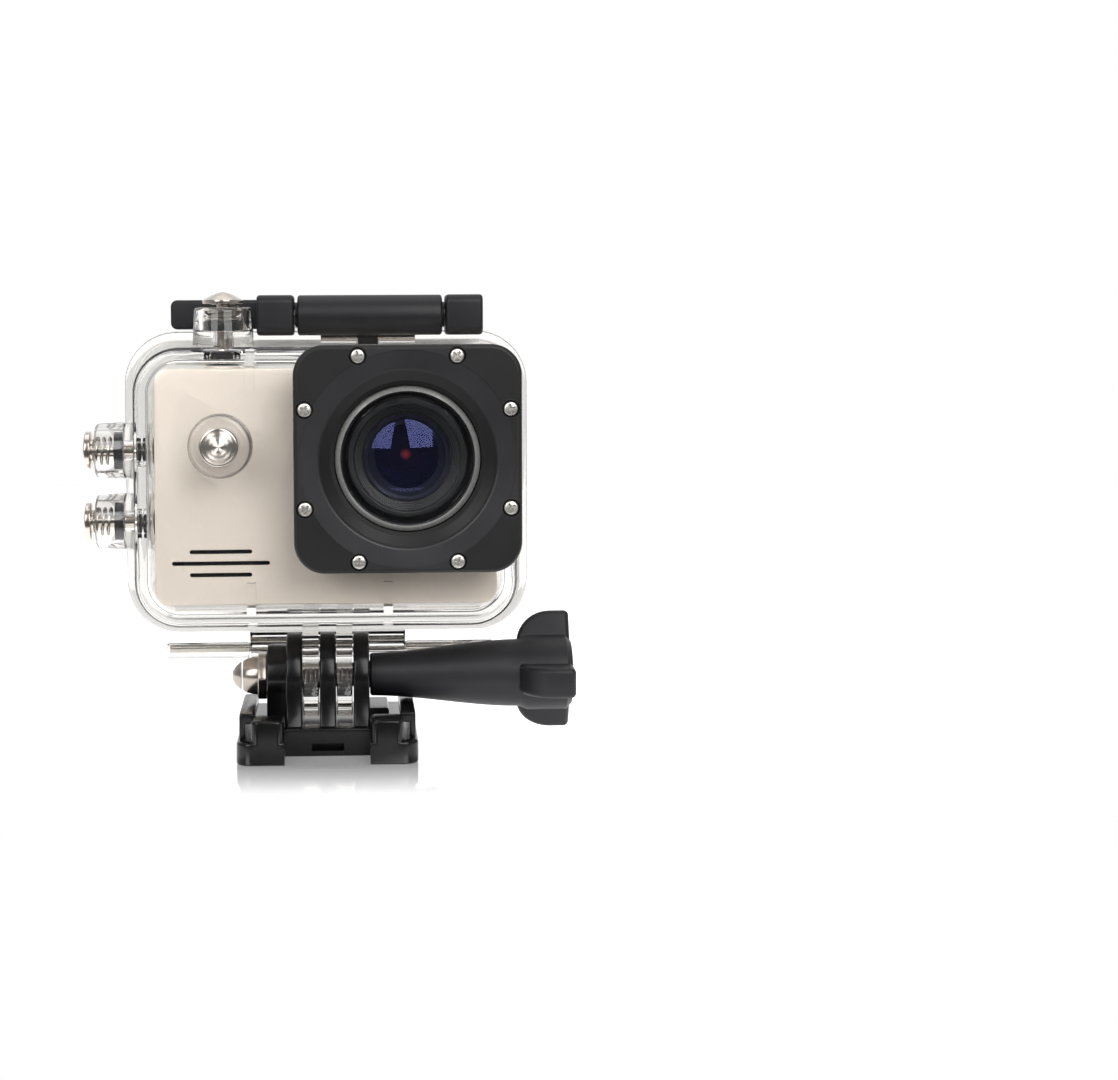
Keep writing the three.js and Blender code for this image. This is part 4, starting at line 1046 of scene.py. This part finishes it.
def lensBezel():
    style = bezelStyle
    front = bezelLow.y
    outline = cornersOf(bezelLow, bezelHigh, 0, style["corner"])
    plate = slab("y", outline, front, bezelHigh.y, style["rim"], 0.3, 16)
    opening = turned("y", lensAt, [
        (0, front - 1),
        (style["annulus"], front - 1),
        (style["annulus"], front + style["annulusStep"]),
        (style["opening"] + 0.3, front + style["dish"], 0.2),
        (style["opening"] - 0.1, front + 0.75, 0.1),
        (style["throat"] + 0.7, glassLow.y - 0.25),
        (style["throat"], glassLow.y - 0.15),
        (style["throat"], bezelHigh.y + 1),
        (0, bezelHigh.y + 1),
    ], 160)
    slip = 0.17
    cuts = [opening]
    for place in screwPlaces:
        cuts.append(rod("y", place, style["screwShank"] + slip, front - 1, bezelHigh.y + 1, 0, 24))
        head = style["screwHead"] + slip
        depth = style["headDepth"] + slip
        cuts.append(turned("y", place, [
            (0, front - 1), (head + 0.15, front - 1), (head + 0.12, front), (head, front + 0.15),
            (head, front + depth), (0, front + depth),
        ], 40))
    return merged(plate, cut=cuts)


# the dished ring round the opening is polished a little finer than the rest and painted a lighter black as a
# painted sheen; the bore inside the opening takes the darker lens black as painted shade
def sheenRingShadedBore(plate):
    style = bezelStyle
    for face in plate.data.polygons:
        x, y, z = face.center
        across = Vector((x - lensX, z - lensZ)).length
        if across < style["opening"]:
            # painted shade: the bore's faces inside the opening take the darker lens black
            face.material_index = 2
        elif across < style["annulus"] and y < bezelLow.y + style["dish"] + 0.1:
            # painted sheen: the dished ring takes the lighter ring black
            face.material_index = 1
    return plate


settle("lensBezel", sheenRingShadedBore(lensBezel()), [bezelBlack, ringSheenBlack, lensBlack], "lens_bezel", sharpAngle=5)


# a pan head with a cross recess
def bezelScrew(place, turn):
    style = bezelStyle
    low, high = box("bezel_screw_1")
    front, tip = low.y, high.y
    head = style["screwHead"]
    blankScrew = turned("y", place, [
        (0, front),
        (head * 0.55, front + 0.03),
        (head - 0.2, front + 0.14, 0.1),
        (head, front + 0.45, 0.12),
        (head, front + style["headDepth"]),
        (style["screwShank"], front + style["headDepth"]),
        (style["screwShank"], tip - 0.4),
        (style["screwShank"] - 0.3, tip),
        (0, tip),
    ], 40)
    x, z = place
    cross = []
    for angle in (0, pi / 2):
        top, foot, reach = style["cross"]
        arm = slab("x", [
            (front - 0.5, z - top), (front - 0.5, z + top), (front + 0.55, z + foot), (front + 0.55, z - foot),
        ], x - reach, x + reach)
        cross.append(turnedAbout(arm, "y", place, angle + turn))
    return merged(blankScrew, cut=cross)


for number, place in enumerate(screwPlaces, 1):
    screw = bezelScrew(place, radians(37 * number))
    settle(f"bezelScrew{number}", screw, screwSteel, f"bezel_screw_{number}")


# the glass has a ground edge that catches the light
groundEdge = Finish("groundGlassEdge", {"IOR": 1.45, "Metallic": 0.35})
grit = groundEdge.noise(3000, 2)
groundEdge.feed(
    Base_Color=groundEdge.mix(grit, shade(120, 120, 118), shade(178, 178, 175)),
    Roughness=0.16 + grit * 0.1,
)


def portGlass():
    radius = glassHigh.x - lensX
    bevel = 0.95
    disc = turned("y", lensAt, [
        (0, glassLow.y), (radius - bevel, glassLow.y), (radius, glassLow.y + 0.55, 0.12),
        (radius, glassHigh.y, 0.1), (0, glassHigh.y),
    ], 160)
    for face in disc.data.polygons:
        across = Vector((face.center.x - lensX, face.center.z - lensZ)).length
        face.material_index = 1 if across > radius - bevel + 0.02 else 0
    return disc


settle("portGlass", portGlass(), [flatGlass, groundEdge], "port_glass", sharpAngle=15)
low, high = box("port_seal")
settle("portSeal", ringOf("y", lensAt, 11.15, 12.15, low.y, high.y, 0.25, 128), rubber, "port_seal")
print("lens port made")


# the latch over the top

latchStyle = {
    "bar": 3.6, "neck": 2.2, "neckGap": 0.4, "tip": 1.25,
    "knuckle": 6.6, "knuckleHalf": 3.6, "knuckleGap": 0.6, "knuckleCorner": 1.5, "rim": 0.55,
    "tabCorner": 1.2, "tabBelow": 2.4, "tabAbove": 2.95, "tabFront": 13, "plate": 3.2, "claw": 1.1,
}
barLow, barHigh = box("latch_bar")
leverLow, leverHigh = box("latch_lever")
leverPinLow, leverPinHigh = box("latch_lever_pin")
leverAt = ((leverPinLow.y + leverPinHigh.y) / 2, (leverPinLow.z + leverPinHigh.z) / 2)


def latchBar():
    style = latchStyle
    y, z = leverAt
    radius = style["bar"]
    neck = style["neck"]
    gap = style["neckGap"]
    bar = turned("x", leverAt, [
        (0, barLow.x - gap), (neck, barLow.x - gap), (neck, barLow.x),
        (radius, barLow.x, 0.5), (radius, barHigh.x, 0.5),
        (neck, barHigh.x), (neck, barHigh.x + gap), (0, barHigh.x + gap),
    ], 96)
    lugY, lugZ = lugAt
    tip = style["tip"]
    tongue = slab("x", [
        (y - 1, z - radius + 0.6), (lugY - tip, lugZ), (lugY - 0.5 * tip, lugZ - tip, 0.4),
        (lugY + 0.5 * tip, lugZ - tip, 0.4), (lugY + tip, lugZ), (y + radius - 0.5, z - 0.5), (y, z),
    ], *lugStyle["tongue"])
    bores = [
        rod("x", leverAt, pinBores["lever"], -20, 40), rod("x", lugAt, pinBores["lug"], -10, 30),
    ]
    return merged(bar, add=[tongue], cut=bores)


def latchLever():
    style = latchStyle
    y, z = leverAt
    half = style["knuckleHalf"]
    outline = corners(y - half, y + half + 1, z - half, z + half, style["knuckleCorner"])
    width = style["knuckle"]
    leftEnd = barLow.x - style["knuckleGap"] - width
    rightEnd = barHigh.x + style["knuckleGap"] + width
    rim = style["rim"]
    knuckles = [
        slab("x", outline, leftEnd, leftEnd + width, rim, rim),
        slab("x", outline, rightEnd - width, rightEnd, rim, rim),
    ]
    plateFront = y + style["bar"] + 0.3
    plateLow = doorTop + 0.4
    plateOutline = corners(leftEnd, rightEnd, plateFront, leverHigh.y, 0.9)
    plate = slab("z", plateOutline, plateLow, plateLow + style["plate"], 0.3, 0.6)
    claw = brick(
        doorStyle["lipLeft"], doorStyle["lipRight"], leverHigh.y - style["claw"], leverHigh.y,
        doorTop - 0.5, plateLow + 1,
    )
    tabOutline = corners(
        leverLow.x, leftEnd + 1.5, z - style["tabBelow"], z + style["tabAbove"], style["tabCorner"],
    )
    tab = slab("y", tabOutline, style["tabFront"], leverHigh.y, 0.6, 0.6)
    bore = rod("x", leverAt, 1.15, leverPinLow.x - 0.3, leverPinHigh.x + 0.3)
    return merged(knuckles[0], add=[knuckles[1], plate, claw, tab], cut=[bore])


settle("latchBar", latchBar(), black, "latch_bar")
settle("latchLever", latchLever(), black, "latch_lever", edge=0.12, sharpAngle=40)
print("latch made")


# the quick-release buckle, its clamp bolt, nut and knob

buckleLow, buckleHigh = box("buckle_body")
buckleStyle = {
    "prong": 2.8, "pitch": 5.9, "prongRadius": 7.5, "gapFloor": 4.8, "rail": 3.9, "railCorner": 2.6,
    "recess": 8.0, "block": 5.7, "blockTop": 7.6, "blockDepth": 6.5, "arm": 1.0, "armTop": 8.2,
    "armLip": 1.75, "armFront": -14.4, "armBack": 6.0, "boss": 3.4, "bossRadius": 5.5, "stopTop": 7.5,
    "slotWidth": 5.6, "slotHeight": 1.3, "slotDepth": 3.0,
    "bore": 2.7,
}
outside = buckleStyle["pitch"] + buckleStyle["prong"] / 2


def prong(x):
    style = buckleStyle
    half = style["prong"] / 2
    y, z = screwAt
    radius = style["prongRadius"]
    disc = rod("x", screwAt, radius, x - half, x + half, 0.4, 96)
    floor = style["gapFloor"]
    root = slab("x", [
        (y - radius - 1, 1), (y + radius + 1, 1), (y + radius + 1, floor), (y + radius, floor + 2),
        (y + radius, z), (y - radius, z), (y - radius, floor + 2), (y - radius - 1, floor),
    ], x - half, x + half, 0.3, 0.3)
    return [disc, root]


def buckle():
    style = buckleStyle
    front, back = buckleLow.y, buckleHigh.y
    recessBack = front + style["recess"]
    outline = corners(buckleLow.x, buckleHigh.x, front, back, style["railCorner"])
    rails = slab("z", outline, 0, style["rail"], 0.35, 0.5)
    recess = brick(-outside, outside, front - 1, recessBack, -1, style["gapFloor"] + 1)
    rails = merged(rails, cut=[recess])
    added = [slab("z", corners(-outside, outside, recessBack, -recessBack), 1, style["gapFloor"], 0, 0.4)]
    for x in (-style["pitch"], 0, style["pitch"]):
        added += prong(x)
    y, z = screwAt
    bossLeft = -outside - style["boss"]
    added.append(rod("x", screwAt, style["bossRadius"], bossLeft, -outside + 0.3, 0.3))
    added.append(brick(bossLeft, -outside + 0.3, -5, 5, 1, z))
    added.append(slab("y", corners(outside - 0.3, outside + style["boss"], 1, style["stopTop"], 0.5), -6, 5))
    for side in (-1, 1):
        edge = side * (buckleHigh.x - 0.4)
        wall = edge - side * style["arm"]
        lip = edge - side * 2.6 * style["arm"]
        left, right = sorted((edge, wall))
        added.append(slab(
            "x", [(style["armFront"], 3.4), (style["armBack"], 3.4), (style["armBack"], style["armTop"], 1.0),
                  (style["armFront"], style["armTop"], 1.0)], left, right, 0.2, 0.2,
        ))
        left, right = sorted((edge, lip))
        added.append(slab(
            "y", corners(left, right, style["armTop"] - style["armLip"], style["armTop"], 0.5),
            style["armFront"], style["armBack"], 0.3, 0.3,
        ))
        left, right = sorted((side * outside, side * (outside + style["block"])))
        added.append(slab(
            "z", corners(left, right, front, front + style["blockDepth"], 1.3), 1, style["blockTop"], 0, 0.5,
        ))
    half = style["slotWidth"] / 2
    slot = brick(-half, half, recessBack - 1, recessBack + style["slotDepth"], 0.9, 0.9 + style["slotHeight"])
    return merged(rails, add=added, cut=[rod("x", screwAt, style["bore"], -20, 20), slot])


settle("buckle", buckle(), glossBlack, "buckle_body", edge=0.12, sharpAngle=40)

nutLow, nutHigh = box("acorn_nut")
nutStyle = {"dome": 3.45, "flats": 7.8, "hexagon": 1.5, "bore": 2.7}


def acornNut():
    radius = nutStyle["dome"]
    end = nutLow.x
    cap = turned("x", screwAt, [
        (0, end),
        *[(radius * sin(radians(a)), end + 1.5 * radius * (1 - cos(radians(a)))) for a in range(15, 91, 15)],
        (radius, nutHigh.x - 0.2),
        (0, nutHigh.x - 0.2),
    ])
    y, z = screwAt
    across = nutStyle["flats"] / 2 / cos(pi / 6)
    outline = [(y + across * cos(a * pi / 3), z + across * sin(a * pi / 3), 0.3) for a in range(6)]
    nut = slab("x", outline, nutHigh.x - nutStyle["hexagon"], nutHigh.x, 0.25, 0.1, 3)
    bore = rod("x", screwAt, nutStyle["bore"], boltLow.x - 0.3, nutHigh.x + 1)
    return merged(cap, add=[nut], cut=[bore])


settle("acornNut", acornNut(), nutSteel, "acorn_nut", edge=0.1)

threadStyle = {"pitch": 0.8, "depth": 0.42}


# the thread is a row of sharp rings, close enough to a real one at this size
def clampBolt():
    style = threadStyle
    radius = (boltHigh.z - boltLow.z) / 2
    root = radius - style["depth"]
    pitch = style["pitch"]
    left, right = boltLow.x, boltHigh.x
    profile = [(0, left), (root, left)]
    for i in range(int((right - left - 2) / pitch)):
        start = left + 0.4 + i * pitch
        profile += [(root, start), (radius, start + 0.42 * pitch), (radius, start + 0.55 * pitch)]
    profile += [(root, right - 1), (root, right), (0, right)]
    return turned("x", screwAt, profile, 64)


settle("clampBolt", clampBolt(), boltSteel, "clamp_bolt", sharpAngle=60)

knobLow, knobHigh = box("thumb_knob")
knobStyle = {
    "shaft": 3.8, "flare": 5.95, "shaftLength": 26.0, "core": 6.6, "lobe": 11.0, "lobeWidth": 5.3,
    "shoulder": 6.2, "turn": -28, "inKnob": 12.0, "bore": 2.55,
}


def thumbKnob():
    style = knobStyle
    start = knobLow.x
    head = start + style["shaftLength"]
    end = knobHigh.x
    flare = []
    for i in range(13):
        t = i / 12
        wide = style["shaft"] + (style["flare"] - style["shaft"]) * (t * t * (3 - 2 * t))
        flare.append((wide, start + t * (style["shaftLength"] + 0.5)))
    shaft = turned("x", screwAt, [
        (0, start), (flare[0][0] - 0.3, start), (flare[0][0], start + 0.3), *flare[1:],
        (style["core"], head + 2), (style["core"], end - 1), (style["core"] - 1, end), (0, end),
    ])
    y, z = screwAt
    half = style["lobeWidth"] / 2
    lobes = []
    for i in range(3):
        top = z + style["lobe"]
        outline = [(head + 0.2, z), (end, z), (end, top, 0.9), (head + 0.2, top, style["shoulder"])]
        lobe = slab("y", outline, y - half, y + half, 1.5, 1.5, 12, 6)
        lobes.append(turnedAbout(lobe, "x", screwAt, radians(style["turn"] + 120 * i)))
    bore = rod("x", screwAt, style["bore"], start - 1, start + style["inKnob"] + 0.3)
    return merged(shaft, add=lobes, cut=[bore])


settle("thumbKnob", thumbKnob(), black, "thumb_knob", edge=0.35, sharpAngle=40, edgeSteps=3)
print("mount made")


# pieces inside the camera keep their shape and take a finish

kept = {
    "battery_door": champagne, "lcd_screen": panelBlack, "screen_window": panelBlack,
    "main_board": boardGreen, "battery": cellWrap, "memory_card": black, "speaker": rubber,
    "image_sensor": panelBlack,
}
for node, finish in kept.items():
    part = frame["nodes"][node]
    for slot in part.material_slots:
        slot.material = finish.material
print("inner pieces finished")


# floor, light and camera

setStyle = {
    "floorSize": 0.35, "floorFront": -0.062, "mirrorReach": 0.04, "mirror": 0.78, "mirrorHalf": 0.0175,
    "mirrorBack": 0.012,
}


def floorFinish():
    made = Finish("paleFloor", {
        "Base Color": (0.93, 0.93, 0.935, 1), "Roughness": 0.7,
        "Emission Color": (1, 1, 1, 1), "Emission Strength": 0.7,
    })
    here = made.node("ShaderNodeTexCoord", {}, {}, "Object")
    depth = made.node("ShaderNodeSeparateXYZ", {}, {0: here}, 1)
    across = made.maths("ABSOLUTE", made.node("ShaderNodeSeparateXYZ", {}, {0: here}, 0), 0)

    def ramp(factor, levels):
        stops = [(at, (level, level, level, 1)) for at, level in levels]
        return made.node("ShaderNodeValToRGB", {"stops": stops}, {0: factor})

    front = buckleLow.y * toMetres
    narrow = ramp((across - setStyle["mirrorHalf"]) * 250, [(0, 1), (1, 0)])
    away = (front - depth) * (1 / setStyle["mirrorReach"])
    fade = ramp(away, [(0, 1), (0.24, 0.8), (0.46, 0.53), (0.68, 0.28), (1, 0)])
    rear = ramp((depth - setStyle["mirrorBack"]) * 150, [(0, 1), (1, 0)])
    mirror = made.node("ShaderNodeBsdfAnisotropic", {}, {"Color": (1, 1, 1, 1), "Roughness": 0.06})
    return made.mixShader(fade * narrow * rear * setStyle["mirror"], mirror)


bm = bmesh.new()
bmesh.ops.create_grid(bm, x_segments=1, y_segments=1, size=setStyle["floorSize"])
bmesh.ops.translate(bm, verts=bm.verts, vec=(0, setStyle["floorSize"] + setStyle["floorFront"], 0))
mesh = bpy.data.meshes.new("floor")
bm.to_mesh(mesh)
bm.free()
floor = bpy.data.objects.new("floor", mesh)
scene.collection.objects.link(floor)
mesh.materials.append(floorFinish().material)


def softLight(name, place, size, power, aim):
    lamp = bpy.data.lights.new(name, "AREA")
    lamp.shape = "RECTANGLE"
    lamp.size, lamp.size_y = size
    lamp.energy = power
    obj = bpy.data.objects.new(name, lamp)
    scene.collection.objects.link(obj)
    obj.location = place
    obj.rotation_mode = "QUATERNION"
    obj.rotation_quaternion = (Vector(aim) - Vector(place)).to_track_quat("-Z", "Y")
    return obj


middle = (cadLow + cadHigh) / 2
softLight("leftSoftbox", (-0.381, -0.623, 0.390), (0.36, 0.5), 2.3, middle)
softLight("rightSoftbox", (0.258, -0.663, 0.452), (0.46, 0.6), 3.7, middle)
softLight("topSoftbox", (0.0, 0.1, 0.95), (0.9, 0.7), 2.2, middle)

world = bpy.data.worlds.new("studio")
scene.world = world
world.use_nodes = True
tree = world.node_tree
tree.nodes.clear()
coordinates = tree.nodes.new("ShaderNodeTexCoord")
height = tree.nodes.new("ShaderNodeSeparateXYZ")
along = tree.nodes.new("ShaderNodeMapRange")
along.inputs["From Min"].default_value = -1
around = tree.nodes.new("ShaderNodeValToRGB")
skyStops = [(0, 0.08), (0.22, 0.24), (0.5, 0.36), (0.7, 0.5), (0.9, 1), (1, 1)]
while len(around.color_ramp.elements) < len(skyStops):
    around.color_ramp.elements.new(1)
for stop, (place, level) in zip(around.color_ramp.elements, skyStops):
    stop.position = place
    stop.color = (level, level, level, 1)
path = tree.nodes.new("ShaderNodeLightPath")
blend = tree.nodes.new("ShaderNodeMix")
blend.inputs[3].default_value = 1.0
background = tree.nodes.new("ShaderNodeBackground")
background.inputs[0].default_value = (1, 1, 1, 1)
output = tree.nodes.new("ShaderNodeOutputWorld")
tree.links.new(coordinates.outputs["Generated"], height.inputs[0])
tree.links.new(height.outputs["Y"], along.inputs["Value"])
tree.links.new(along.outputs[0], around.inputs[0])
tree.links.new(path.outputs["Is Camera Ray"], blend.inputs[0])
tree.links.new(around.outputs[0], blend.inputs[2])
tree.links.new(blend.outputs[0], background.inputs["Strength"])
tree.links.new(background.outputs[0], output.inputs[0])

cameraPlace = {
    "at": (0.0042, -0.370, 0.0731), "lens": 67.3, "down": 2.91, "right": 2.36, "roll": 0.3,
    "shift": (0.11, -0.09),
}
eye = bpy.data.cameras.new("view")
eye.lens = cameraPlace["lens"]
eye.shift_x, eye.shift_y = cameraPlace["shift"]
eye.clip_start = 0.01
view = bpy.data.objects.new("view", eye)
scene.collection.objects.link(view)
view.location = cameraPlace["at"]
view.rotation_euler = (
    Matrix.Rotation(-radians(cameraPlace["right"]), 3, "Z")
    @ Matrix.Rotation(radians(90 - cameraPlace["down"]), 3, "X")
    @ Matrix.Rotation(-radians(cameraPlace["roll"]), 3, "Z")
).to_euler()
scene.camera = view
scene.view_settings.view_transform = "Standard"
print("stage set")
